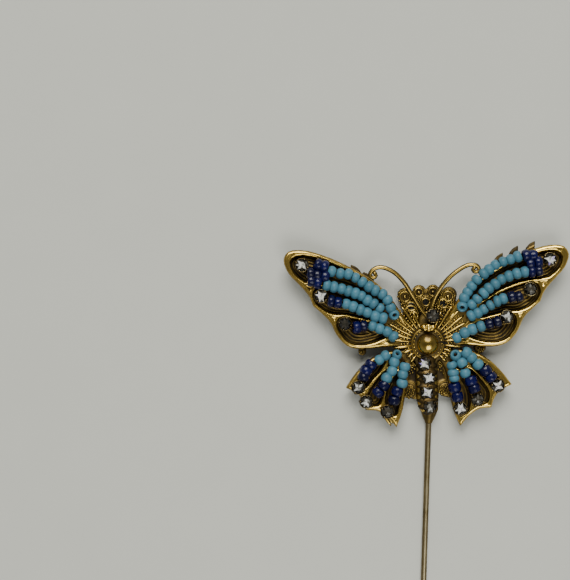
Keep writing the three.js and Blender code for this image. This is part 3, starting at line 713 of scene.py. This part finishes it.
class HAIRPIN_OT_stamped_wings(Operator):
    """Strike the front stamping: rolled rims and veins round the open cells of the wings"""

    bl_idname = "hairpin.stamped_wings"
    bl_label = "Stamped Wings"

    def execute(self, context):
        sizes = context.scene.hair_pin_sizes
        reach, height = sizes.roll_reach / MM, sizes.roll_height / MM
        web, flank = 0.06, 0.3
        hub_radius, hub_fade = 4.6, 3.0
        wobble, wobble_length = 0.05, 1.1
        hub_rub, wing_rub, crown_rub_and_highlight = 0.11, 0.15, 0.62
        blank = cad_copy("wing_stamping")
        walls = walls_of(blank)
        skin = remeshed(blank, voxel=0.14, passes=3)
        crest = wear_and_light_layer(skin)
        for vert in skin.verts:
            x, y, z = vert.co
            level = STAMPING_MIDDLE + lift(x)
            if z <= level:
                continue
            distance = walls.find_nearest(Vector((x, y, level)))[3]
            distance += wobble * noise.noise(Vector((x, y, 0)) / wobble_length)
            crown = roll(max(0.0, distance), reach, height, web)
            upward = min(1.0, (z - level) / flank)
            hub = math.hypot(x - THORAX.x, y - THORAX.y)
            away = max(0.0, min(1.0, (hub - hub_radius) / hub_fade))
            vert.co.z += crown * upward * away
            # Painted light: the right wing is made lighter and the left darker, and the rim crowns
            # brighter as partly rubbed wear, partly painted highlight.
            painted_side_light = 0.1 * max(-1.0, min(1.0, x / 12))
            vert[crest] = upward * (
                hub_rub + away * (wing_rub + painted_side_light + crown_rub_and_highlight * crown / height))
        finish_piece(skin, "struck_wing_front", "antique_brass", ["wing_stamping"], front_brass())
        return {"FINISHED"}


class HAIRPIN_OT_fan(Operator):
    """Lay the fan of ribs, the rows of grains and the ring round the hub"""

    bl_idname = "hairpin.fan"
    bl_label = "Ribs and Grains"

    def execute(self, context):
        grain_radius = context.scene.hair_pin_sizes.grain_radius / MM
        foot, steps = 3.15, 8
        spacing, stray = 0.62, 0.06
        ring_reach, ring_count = 2.68, 26
        draw = random.Random(SEED)
        bm = new_metal()
        for side in (-1, 1):
            for angle, outer in FAN_RIBS:
                heading = around(math.radians(angle), side=side)
                line = []
                for i in range(steps + 1):
                    place = THORAX + heading * (foot + (outer - foot) * i / steps)
                    arch = 0.05 + 0.14 * math.sin(math.pi * i / steps)
                    place.z = STAMPING_TOP + lift(place.x) + arch
                    line.append(place)
                add_wire(bm, line, tapered(steps + 1, start=0.14, middle=0.27, end=0.14))
            for angle, inner, outer in GRAIN_ROWS:
                heading = around(math.radians(angle), side=side)
                for i in range(int((outer - inner) / spacing) + 1):
                    place = THORAX + heading * (inner + spacing * i)
                    place += Vector((draw.uniform(-stray, stray), draw.uniform(-stray, stray), 0))
                    place.z = STAMPING_TOP + 0.08 + lift(place.x)
                    add_ball(bm, place, grain_radius * draw.uniform(0.8, 1.15))
        for i in range(ring_count):
            place = THORAX + around(math.tau * i / ring_count, ring_reach)
            place.z = STAMPING_TOP + 0.2
            add_ball(bm, place, 0.2 * draw.uniform(0.8, 1.1))
        # Painted light by slope: upward faces of ribs and grains lighter as partly wear and partly
        # painted highlight, their flanks darker as painted shade.
        rub_and_light_by_slope(bm, bm.verts, low=0.15, high=0.9)
        ring = spun((
            (2.0, 0), (2.0, 0.34), (2.15, 0.4), (2.35, 0.3), (2.6, 0.2), (2.85, 0.24), (3.02, 0.38),
            (3.2, 0.32), (3.28, 0.15), (3.28, 0)), 64)
        corners = append(bm, ring, Matrix.Translation(THORAX + Vector((0, 0, STAMPING_TOP - 0.1))))
        crest = wear_and_light_layer(bm)
        for vert in corners:
            edge = math.hypot(vert.co.x - THORAX.x, vert.co.y - THORAX.y)
            # A bright line on the ring's raised edge, partly rubbed wear and partly painted
            # highlight.
            vert[crest] = 0.7 if 2.95 < edge < 3.15 else 0.2
        finish_piece(bm, "fan_of_ribs_and_grains", "antique_brass", [], front_brass())
        return {"FINISHED"}


def strike_scrolls(skin, cells, edges, pitch):
    """Raises the plate's rolled edges, the scroll lines in the cells and the rosette's fluting."""
    relief, flank, body_half_width, rosette_foot = 0.22, 0.15, 6.5, 7.5
    wobble, wobble_length, first_crest = 0.12, 2.3, 0.6
    crest = wear_and_light_layer(skin)
    for vert in skin.verts:
        x, y, z = vert.co
        level = PLATE_MIDDLE + lift(x)
        if z <= level:
            continue
        edge = edges.find_nearest(Vector((x, y, level)))[3]
        crown = roll(edge, reach=0.4, height=relief, web=0.02) / relief
        if abs(x) > body_half_width:
            line = cells.find_nearest(Vector((x, y, STAMPING_MIDDLE + lift(x))))[3]
            line += wobble * noise.noise(Vector((x, y, 0)) / wobble_length)
            swell = 0.5 + 0.5 * math.cos(math.tau * (line / pitch - first_crest))
            crown = max(crown * 0.7, swell ** 1.5)
            if y > LEAF_LINE[0] + LEAF_LINE[1] * abs(x):
                crown *= 0.35
        elif y > rosette_foot:
            fluting = 0.5 + 0.5 * math.cos(14 * math.atan2(x - 0.5, y - 2))
            crown = max(crown, 0.55 * fluting)
        upward = min(1.0, (z - level) / flank)
        vert.co.z += relief * crown * upward
        # The raised lines and edges are lighter, partly rubbed wear and partly painted highlight.
        vert[crest] = upward * (0.08 + 0.54 * crown)


class HAIRPIN_OT_filigree(Operator):
    """Work the filigree plate: nested scroll lines in the cells, rosette, leaf points and grains"""

    bl_idname = "hairpin.filigree"
    bl_label = "Filigree Plate"

    def execute(self, context):
        sizes = context.scene.hair_pin_sizes
        grain_radius = sizes.grain_radius / MM
        draw = random.Random(SEED + 1)
        blank = cad_copy("filigree_back_plate")
        for x, y, radius in CORNER_LOBES:
            bmesh.ops.create_cone(
                blank, cap_ends=True, segments=24, radius1=radius, radius2=radius,
                depth=PLATE_TOP - PLATE_BOTTOM, matrix=Matrix.Translation((x, y, PLATE_MIDDLE)))
        edges = walls_of(blank)
        skin = remeshed(blank, voxel=0.16, passes=2)
        strike_scrolls(
            skin, walls_of(cad_copy("wing_stamping")), edges, sizes.scroll_pitch / MM)
        extras = bmesh.new()
        for x, y, radius, count in GRAIN_CLUSTERS:
            for i in range(count):
                turn = i * 2.4 + draw.uniform(-0.2, 0.2)
                place = Vector((x, y, 0)) + around(turn, radius * math.sqrt((i + 0.5) / count))
                place.z = PLATE_TOP + 0.3 + lift(place.x)
                add_ball(extras, place, grain_radius * draw.uniform(0.8, 1.3))
        rings = [((x, y, PLATE_TOP + 0.15), radius, radius, 0.2) for x, y, radius in ROSETTE_RINGS]
        for centre, across, along, radius in (*rings, *FLOWER_RINGS):
            line = [
                Vector(centre) + Vector((across * math.cos(turn), along * math.sin(turn), 0))
                for turn in (math.tau * i / 24 for i in range(25))]
            add_wire(extras, line, [radius] * len(line))
        add_ball(extras, FLOWER_BALL, 0.42, segments=16, rings=10)
        for x, y, radius in ROSETTE_RINGS:
            if y > 9:
                add_ball(extras, (x, y, PLATE_TOP + 0.05), 0.45 * radius, segments=12, rings=8)
            for i in range(10):
                place = Vector((x, y, PLATE_TOP + 0.15)) + around(math.tau * i / 10, radius + 0.38)
                add_ball(extras, place, grain_radius * draw.uniform(0.9, 1.3))
        for start, end, radius in TORN_SLIVERS:
            line = [Vector(start).lerp(Vector(end), i / 6) for i in range(7)]
            for i, place in enumerate(line):
                place.z += lift(place.x) + 0.1 * math.sin(2.1 * i)
            sliver = add_wire(
                extras, line, tapered(7, start=radius * 0.8, middle=radius, end=0.12))
            bmesh.ops.scale(
                extras, vec=(1, 1, 0.5), verts=sliver,
                space=Matrix.Translation((0, 0, -PLATE_TOP)))
        # Painted light by slope on the grains, rings and slivers: lighter upward faces, darker
        # flanks.
        rub_and_light_by_slope(skin, append(skin, extras), low=0.15, high=0.85)
        finish_piece(
            skin, "scrolled_filigree_back", "aged_brass", ["filigree_back_plate"], back_brass())
        return {"FINISHED"}


class HAIRPIN_OT_pad(Operator):
    """Build the soldered back pad with its tapered tail and solder fillet"""

    bl_idname = "hairpin.pad"
    bl_label = "Back Pad"

    def execute(self, context):
        blank = cad_copy("back_pad")
        fillet = spun((
            (0, 0), (0.66, 0), (0.74, 0.25), (0.95, 1.0), (1.2, 1.7), (1.3, 2.4), (1.0, 2.9),
            (0, 3.1)), 32)
        append(blank, fillet, along_stem(start=-15.4, level=0.72))
        skin = remeshed(blank, voxel=0.15, passes=3)
        crest = wear_and_light_layer(skin)
        for vert in skin.verts:
            if vert.co.z < 0:
                vert.co.z = 0
            vert[crest] = 0.42 + 0.15 * noise.noise(vert.co / 1.5)
        finish_piece(skin, "soldered_back_pad", "aged_brass", ["back_pad"], back_brass())
        return {"FINISHED"}


class HAIRPIN_OT_stem(Operator):
    """Turn the long pin stem with its drawn-out point"""

    bl_idname = "hairpin.stem"
    bl_label = "Pin Stem"

    def execute(self, context):
        length, radius, taper = 67.5, 0.55, 9.0
        tip_radius, tip_length = 0.12, 0.25
        profile = [(0, -length), (0.07, 0.06 - length), (tip_radius, tip_length - length)]
        for i in range(1, 13):
            share = i / 12
            profile.append((
                tip_radius + (radius - tip_radius) * math.sin(share * math.pi / 2) ** 0.9,
                tip_length - length + (taper - tip_length) * share))
        straight = 40
        for i in range(1, straight):
            profile.append((radius, taper - length + (length - taper) * i / straight))
        profile += [(radius, -0.12), (radius - 0.12, 0), (0, 0)]
        bm = spun(profile, 32)
        bm.transform(along_stem(start=-8.5, level=0.6))
        # Painted highlight along the top of the stem, painted shade on its sides.
        rub_and_light_by_slope(bm, bm.verts, low=0.3, high=0.9, narrow=3)
        finish_piece(bm, "drawn_pin_stem", "aged_brass", ["pin_stem"], stem_metal())
        return {"FINISHED"}


class HAIRPIN_OT_dome(Operator):
    """Raise the polished rivet dome in the middle of the thorax"""

    bl_idname = "hairpin.dome"
    bl_label = "Thorax Dome"

    def execute(self, context):
        radius, foot, height, dent = 2.05, 0.3, 1.5, 0.05
        profile = [(0, -1.55), (0.8, -1.55), (0.8, 0.05), (2.02, 0.05), (2.1, 0.14), (2.07, foot)]
        for i in range(1, 15):
            angle = math.pi / 2 * i / 14
            profile.append((radius * math.cos(angle), foot + height * math.sin(angle)))
        bm = spun(profile, 64)
        for vert in bm.verts:
            x, y, z = vert.co
            if z > foot:
                out = Vector((x, y, z - foot)).normalized()
                vert.co += out * dent * noise.noise(vert.co * 0.9 + Vector((3, 5, 1)))
        bm.transform(Matrix.Translation(THORAX + Vector((0, 0, STAMPING_TOP))))
        crest = wear_and_light_layer(bm)
        for vert in bm.verts:
            # Painted light: the dome is lighter towards the tail as a painted highlight and darker
            # towards the head as painted shade.
            vert[crest] = 0.62 - 0.25 * (vert.co.y - THORAX.y)
        finish_piece(
            bm, "polished_thorax_dome", "antique_brass", ["thorax_rivet"], polished_brass())
        return {"FINISHED"}


class HAIRPIN_OT_head(Operator):
    """Group the bright bumps of the head over the front of the thorax"""

    bl_idname = "hairpin.head"
    bl_label = "Head Bumps"

    def execute(self, context):
        bump_level = 3.78
        bm = bmesh.new()
        bmesh.ops.create_uvsphere(
            bm, u_segments=24, v_segments=14, radius=1,
            matrix=Matrix.Translation((0.4, 3.35, 3.3)) @ Matrix.Diagonal((1.6, 0.95, 0.6, 1)))
        for x, y, radius in HEAD_BUMPS:
            add_ball(bm, (x, y, bump_level), radius, segments=20, rings=12)
        skin = remeshed(bm, voxel=0.11, passes=1)
        crest = wear_and_light_layer(skin)
        for vert in skin.verts:
            # Brighter towards the tops of the bumps: partly rubbed wear, partly painted highlight.
            vert[crest] = max(0.0, min(1.0, (vert.co.z - 3.45) / 0.6))
        finish_piece(skin, "head_of_bright_bumps", "antique_brass", ["head_cap"], front_brass())
        return {"FINISHED"}


class HAIRPIN_OT_antennae(Operator):
    """Bend the two antennae from one wire and curl their ends"""

    bl_idname = "hairpin.antennae"
    bl_label = "Antennae"

    def execute(self, context):
        steps = 64
        bm = new_metal()
        for route in (LEFT_ANTENNA, RIGHT_ANTENNA):
            places, _, _ = spaced(smooth_line(route), steps)
            radii = tapered(steps, start=0.32, middle=0.44, end=0.36)
            add_wire(bm, places, radii, roundness=5)
            add_ball(bm, places[-1], 0.42, segments=16, rings=10)
        # A narrow painted highlight along the top of each wire, painted shade on its sides.
        rub_and_light_by_slope(bm, bm.verts, low=0.05, high=0.85, narrow=6)
        finish_piece(bm, "curled_antennae", "antique_brass", ["antenna_wire"], front_brass())
        return {"FINISHED"}


def add_prongs(bm, foot, turn, radius, reach):
    """Adds the four claws that fold over the girdle of a cut stone, as far in as their reach."""
    bend = ((1.0, 0.0), (1.02, 0.35), (0.97, 0.6), (0.86, 0.72), (reach, 0.78))
    for i in range(4):
        heading = around(turn + math.pi / 4 + i * math.pi / 2)
        line = [Vector(foot) + heading * (radius * out) + Vector((0, 0, up)) for out, up in bend]
        add_wire(bm, line, (0.16, 0.16, 0.17, 0.16, 0.1), roundness=2)


class HAIRPIN_OT_settings(Operator):
    """Press the claw cups that hold the wing and head stones"""

    bl_idname = "hairpin.settings"
    bl_label = "Stone Cups"

    def execute(self, context):
        metal = cup_metal()
        for name, (turn, _, _) in STONES.items():
            if name.startswith("abdomen"):
                continue
            x, y, level = cad_middle(f"{name}_setting")
            cup = spun((
                (0, 0), (1.0, 0), (1.12, 0.04), (1.33, 0.28), (1.36, 0.5), (1.36, 0.8),
                (1.32, 0.86), (1.27, 0.86), (1.25, 0.8), (1.25, 0.46), (0, 0.45)), 28)
            bm = new_metal()
            append(bm, cup, Matrix.Translation((x, y, level)))
            add_prongs(bm, (x, y, level + 0.45), math.radians(turn), radius=1.34, reach=0.77)
            # Painted light by slope: lighter upward rims and prongs, darker walls.
            rub_and_light_by_slope(bm, bm.verts, low=0.1)
            finish_piece(bm, f"{name}_claw_cup", "setting_metal", [f"{name}_setting"], metal)
        return {"FINISHED"}


class HAIRPIN_OT_stones(Operator):
    """Cut the foil-backed stones with an eight-point star crown"""

    bl_idname = "hairpin.stones"
    bl_label = "Cut Stones"

    def execute(self, context):
        crystal = shared_material("foil_backed_crystal", foiled_crystal)
        table_level, painted_lilac_glint = 0.7, 1.2
        draw = random.Random(SEED + 2)
        for name, (turn, painted_flash_strength, points) in STONES.items():
            node = name if name.startswith("abdomen") else f"{name}_crystal"
            x, y, level = cad_middle(node)
            bm = bmesh.new()
            for radius, height, shift in STONE_CUT:
                ring = bmesh.ops.create_circle(bm, cap_ends=False, segments=8, radius=radius)
                placing = Matrix.Translation((0, 0, height)) @ Matrix.Rotation(
                    shift * math.tau / 8, 4, "Z")
                bmesh.ops.transform(bm, matrix=placing, verts=ring["verts"])
            bmesh.ops.convex_hull(bm, input=bm.verts)
            bmesh.ops.dissolve_limit(
                bm, angle_limit=math.radians(1), verts=bm.verts, edges=bm.edges)
            table = [
                face for face in bm.faces if all(v.co.z > table_level for v in face.verts)]
            bmesh.ops.poke(bm, faces=table, offset=0.07)
            bmesh.ops.recalc_face_normals(bm, faces=bm.faces)
            # Painted reflections: each facet gets a fixed tone, white where it flashes, dark where
            # it shows the cup, lilac where it glints.
            painted_flash = bm.faces.layers.float.new("painted_flash")
            for face in bm.faces:
                middle = face.calc_center_median()
                octant = round(math.atan2(middle.y, middle.x) / math.tau * 8 - 0.5) % 8
                on_table = sum(v.co.z > table_level for v in face.verts)
                if on_table > 2:
                    share = 0.9 if octant in points else draw.uniform(0.35, 0.8)
                    tone = share * painted_flash_strength
                elif on_table == 2:
                    tone = 0.82 * painted_flash_strength if octant in points else draw.uniform(0.02, 0.2)
                else:
                    tone = draw.choice((0.0, 0.05, 0.12, 0.35 * painted_flash_strength))
                if name in PAINTED_LILAC_STONES and on_table == 2 and octant in points[:2]:
                    tone = painted_lilac_glint
                face[painted_flash] = tone
            bm.transform(
                Matrix.Translation((x, y, level)) @ Matrix.Rotation(math.radians(turn), 4, "Z"))
            stone = finish_piece(bm, f"{name}_cut_stone", "crystal", [node], crystal)
            stone.data.shade_flat()
        return {"FINISHED"}


class HAIRPIN_OT_abdomen(Operator):
    """Turn the ribbed abdomen and close its four stone collets"""

    bl_idname = "hairpin.abdomen"
    bl_label = "Ribbed Abdomen"

    def execute(self, context):
        top, bottom, half_width, steps = -1.75, -13.5, 1.95, 90
        rib_pitch, rib_depth = 1.33, 0.12
        floor = 2.82
        profile = [(0, top)]
        for i in range(1, steps):
            share = i / steps
            y = top + (bottom - top) * share
            swell = min(1.0, (share / 0.12) ** 0.5, ((1 - share) / 0.16) ** 0.5)
            rib = rib_depth * math.cos(math.tau * y / rib_pitch)
            profile.append((half_width * swell * (0.95 + rib), y))
        profile.append((0, bottom))
        body = spun(profile, 40)
        body.transform(Matrix.Rotation(math.radians(-90), 4, "X"))
        body.transform(Matrix.Translation((0.05, 0, 2.85)) @ Matrix.Diagonal((1, 1, 0.5, 1)))
        bm = new_metal()
        append(bm, body)
        bmesh.ops.bisect_plane(
            bm, geom=bm.verts[:] + bm.edges[:] + bm.faces[:], dist=WELD / 10,
            plane_co=(0, 0, floor), plane_no=(0, 0, -1), clear_outer=True)
        rim = [edge for edge in bm.edges if edge.is_boundary]
        bmesh.ops.holes_fill(bm, edges=rim, sides=0)
        for name, (turn, _, _) in STONES.items():
            if not name.startswith("abdomen"):
                continue
            x, y, level = cad_middle(name)
            collet = spun((
                (0, -0.1), (1.2, -0.1), (1.32, 0.0), (1.36, 0.2), (1.33, 0.36), (1.26, 0.36),
                (1.24, 0.2), (0, 0.02)), 28)
            append(bm, collet, Matrix.Translation((x, y, level)))
            add_prongs(bm, (x, y, level), math.radians(turn), radius=1.32, reach=0.7)
        # Painted light by slope: lighter ribs and prong tops, darker flanks.
        rub_and_light_by_slope(bm, bm.verts, low=0.05, high=0.75, narrow=3)
        finish_piece(
            bm, "ribbed_abdomen", "setting_metal", ["abdomen_setting_strip"], cup_metal())
        return {"FINISHED"}


def bead_shape(radius, hole, shoulder, thick):
    """A bead on its end. A low shoulder makes it a short tube, a high one makes it pointed."""
    middle = hole + 0.42 * (radius - hole)
    part = bmesh.new()
    for vert in bmesh.ops.create_circle(part, cap_ends=False, segments=16, radius=1)["verts"]:
        out, along = vert.co.x, vert.co.y
        wall = radius - middle if out > 0 else hole - middle
        vert.co = (middle + wall * abs(out) ** shoulder, 0, thick * along)
    bmesh.ops.spin(
        part, geom=part.verts[:] + part.edges[:], cent=(0, 0, 0), axis=(0, 0, 1),
        dvec=(0, 0, 0), angle=math.tau, steps=20, use_merge=True)
    bmesh.ops.recalc_face_normals(part, faces=part.faces)
    return part


def thread_beads(strands, radius, hole, shoulder, slot, glass, wire, seed):
    """Threads each strand: separate beads with a hole and round shoulders, on a browned wire."""
    wire_radius, tail, dip = 0.15, 0.25, Vector((0, 0, -0.9))
    draw = random.Random(seed)
    for node, rows in strands.items():
        bm = new_metal()
        tint = bm.verts.layers.float.new("tint")
        ends = []
        for count, points, standing in rows:
            line = smooth_line([(x, y, BEAD_LEVEL + lift(x)) for x, y in points])
            places, headings, length = spaced(line, count)
            half = min(0.78 * radius, 0.5 * length / (count - 1) + 0.04)
            for i, (place, heading) in enumerate(zip(places, headings)):
                bulge = draw.uniform(0.92, 1.06)
                part = bead_shape(radius, hole, shoulder, half * draw.uniform(0.92, 1.1))
                lean = Vector((draw.gauss(0, 0.11), draw.gauss(0, 0.11), draw.gauss(0, 0.08)))
                axis = (heading + lean).normalized()
                if standing and i == count - 1:
                    up = math.radians(standing)
                    axis = (heading * math.cos(up) + Vector((0, 0, math.sin(up)))).normalized()
                shift = Vector((draw.gauss(0, 0.08), draw.gauss(0, 0.08), draw.gauss(0, 0.05)))
                turn = axis.to_track_quat("Z", "Y").to_matrix().to_4x4()
                swell = Matrix.Diagonal((bulge, bulge, 1, 1))
                tone = draw.uniform(0.1, 0.8)
                for vert in append(bm, part, Matrix.Translation(place + shift) @ turn @ swell):
                    vert[tint] = tone
                part.free()
            start = places[0] - headings[0] * half * 0.8
            end = places[-1] + headings[-1] * half * 0.8
            thread = [
                start + dip - headings[0] * tail, start, *places, end,
                end + dip + headings[-1] * tail]
            first = len(bm.faces)
            add_wire(bm, thread, [wire_radius] * len(thread), roundness=2)
            if ends:
                bridge = [ends[-1], (ends[-1] + end) / 2 + dip * 0.3, end]
                add_wire(bm, bridge, [wire_radius] * 3, roundness=2)
            ends.append(end)
            bm.faces.ensure_lookup_table()
            for face in bm.faces[first:]:
                face.material_index = 1
        crest = wear_and_light_layer(bm)
        for vert in bm.verts:
            vert[crest] = 0.3
        finish_piece(bm, f"{node}_strand", slot, [node], glass, wire)


class HAIRPIN_OT_turquoise_beads(Operator):
    """Thread the turquoise bead rows of all four wings"""

    bl_idname = "hairpin.turquoise_beads"
    bl_label = "Turquoise Beads"

    def execute(self, context):
        sizes = context.scene.hair_pin_sizes
        glass = shared_material("opaque_turquoise_glass", turquoise_glass)
        thread_beads(
            TURQUOISE_STRANDS, sizes.turquoise_radius / MM, sizes.hole_radius / MM,
            TURQUOISE_SHOULDER, "turquoise_glass", glass, bead_wire(), SEED + 3)
        return {"FINISHED"}


class HAIRPIN_OT_cobalt_beads(Operator):
    """Thread the cobalt bead rows that finish each turquoise row"""

    bl_idname = "hairpin.cobalt_beads"
    bl_label = "Cobalt Beads"

    def execute(self, context):
        sizes = context.scene.hair_pin_sizes
        glass = shared_material("clear_cobalt_glass", cobalt_glass)
        thread_beads(
            COBALT_STRANDS, sizes.cobalt_radius / MM, sizes.hole_radius / MM,
            COBALT_SHOULDER, "cobalt_glass", glass, bead_wire(), SEED + 4)
        return {"FINISHED"}


def soft_room():
    """The even light of a room: brightest from the sides, a little darker overhead."""
    world = bpy.data.worlds.new("soft_room")
    world.use_nodes = True
    tree = world.node_tree
    tree.nodes.clear()
    heading = add_node(tree, "ShaderNodeTexCoord").outputs["Generated"]
    height = add_node(tree, "ShaderNodeSeparateXYZ", inputs={0: heading}).outputs["Z"]
    tone = add_node(tree, "ShaderNodeValToRGB", inputs={"Fac": height}, stops=(
        (0.0, linear("#96958F")), (1.0, linear("#67655F")), (0.5, linear("#A3A29C")),
        (0.88, linear("#74726C"))))
    background = add_node(tree, "ShaderNodeBackground", inputs={
        "Color": tone.outputs["Color"], "Strength": 0.64})
    add_node(tree, "ShaderNodeOutputWorld", inputs={"Surface": background.outputs[0]})
    return world


class HAIRPIN_OT_stage(Operator):
    """Lay the pale table, hang the soft lights and set the camera straight above"""

    bl_idname = "hairpin.stage"
    bl_label = "Table, Light and Camera"

    def execute(self, context):
        scene = context.scene
        bm = bmesh.new()
        bmesh.ops.create_grid(bm, x_segments=8, y_segments=8, size=TABLE_HALF_WIDTH)
        bmesh.ops.translate(bm, vec=(0, 0, -TABLE_GAP), verts=bm.verts)
        mesh = bpy.data.meshes.new("table")
        bm.to_mesh(mesh)
        bm.free()
        mesh.materials.append(shared_material("matt_table_laminate", table_top))
        table = bpy.data.objects.new("table", mesh)
        scene.collection.objects.link(table)
        scene.world = soft_room()

        for name, place, size, power, colour in SOFTBOXES:
            light = bpy.data.lights.new(name, "AREA")
            light.shape = "RECTANGLE"
            light.size, light.size_y = size
            light.energy = power
            light.color = colour
            softbox = bpy.data.objects.new(name, light)
            softbox.location = place
            softbox.rotation_euler = (-Vector(place)).to_track_quat("-Z", "Y").to_euler()
            scene.collection.objects.link(softbox)

        camera_data = bpy.data.cameras.new("camera")
        camera_data.sensor_width = 36
        camera_data.lens = CAMERA_LENS
        camera_data.clip_start = 0.01
        camera = bpy.data.objects.new("camera", camera_data)
        camera.location = CAMERA_PLACE
        camera.rotation_euler = (0, 0, CAMERA_TURN)
        scene.collection.objects.link(camera)
        scene.camera = camera
        return {"FINISHED"}


class HAIRPIN_PT_panel(Panel):
    """Lists the steps that build the hair pin"""

    bl_label = "Butterfly Hair Pin"
    bl_idname = "HAIRPIN_PT_panel"
    bl_space_type = "VIEW_3D"
    bl_region_type = "UI"
    bl_category = "Hair Pin"

    def draw(self, context):
        layout = self.layout
        for group in (context.scene.hair_pin_sizes, context.scene.hair_pin_finish):
            column = layout.column()
            for name in group.__annotations__:
                column.prop(group, name)
        for step in STEPS:
            layout.operator(step.bl_idname)


STEPS = (
    HAIRPIN_OT_stage, HAIRPIN_OT_stamped_wings, HAIRPIN_OT_fan, HAIRPIN_OT_filigree, HAIRPIN_OT_pad,
    HAIRPIN_OT_stem, HAIRPIN_OT_dome, HAIRPIN_OT_head, HAIRPIN_OT_antennae, HAIRPIN_OT_abdomen,
    HAIRPIN_OT_settings, HAIRPIN_OT_stones, HAIRPIN_OT_turquoise_beads, HAIRPIN_OT_cobalt_beads,
)
GROUPS = (HairPinSizes, HairPinFinish)


def register():
    """Registers the sizes, finishes, steps and panel."""
    for item in (*GROUPS, *STEPS, HAIRPIN_PT_panel):
        bpy.utils.register_class(item)
    bpy.types.Scene.hair_pin_sizes = PointerProperty(type=HairPinSizes)
    bpy.types.Scene.hair_pin_finish = PointerProperty(type=HairPinFinish)


def unregister():
    """Takes them out again."""
    del bpy.types.Scene.hair_pin_finish
    del bpy.types.Scene.hair_pin_sizes
    for item in reversed((*GROUPS, *STEPS, HAIRPIN_PT_panel)):
        bpy.utils.unregister_class(item)


def main():
    """Runs every step in order."""
    register()
    for step in STEPS:
        group, name = step.bl_idname.split(".")
        getattr(getattr(bpy.ops, group), name)()


if __name__ == "__main__":
    main()
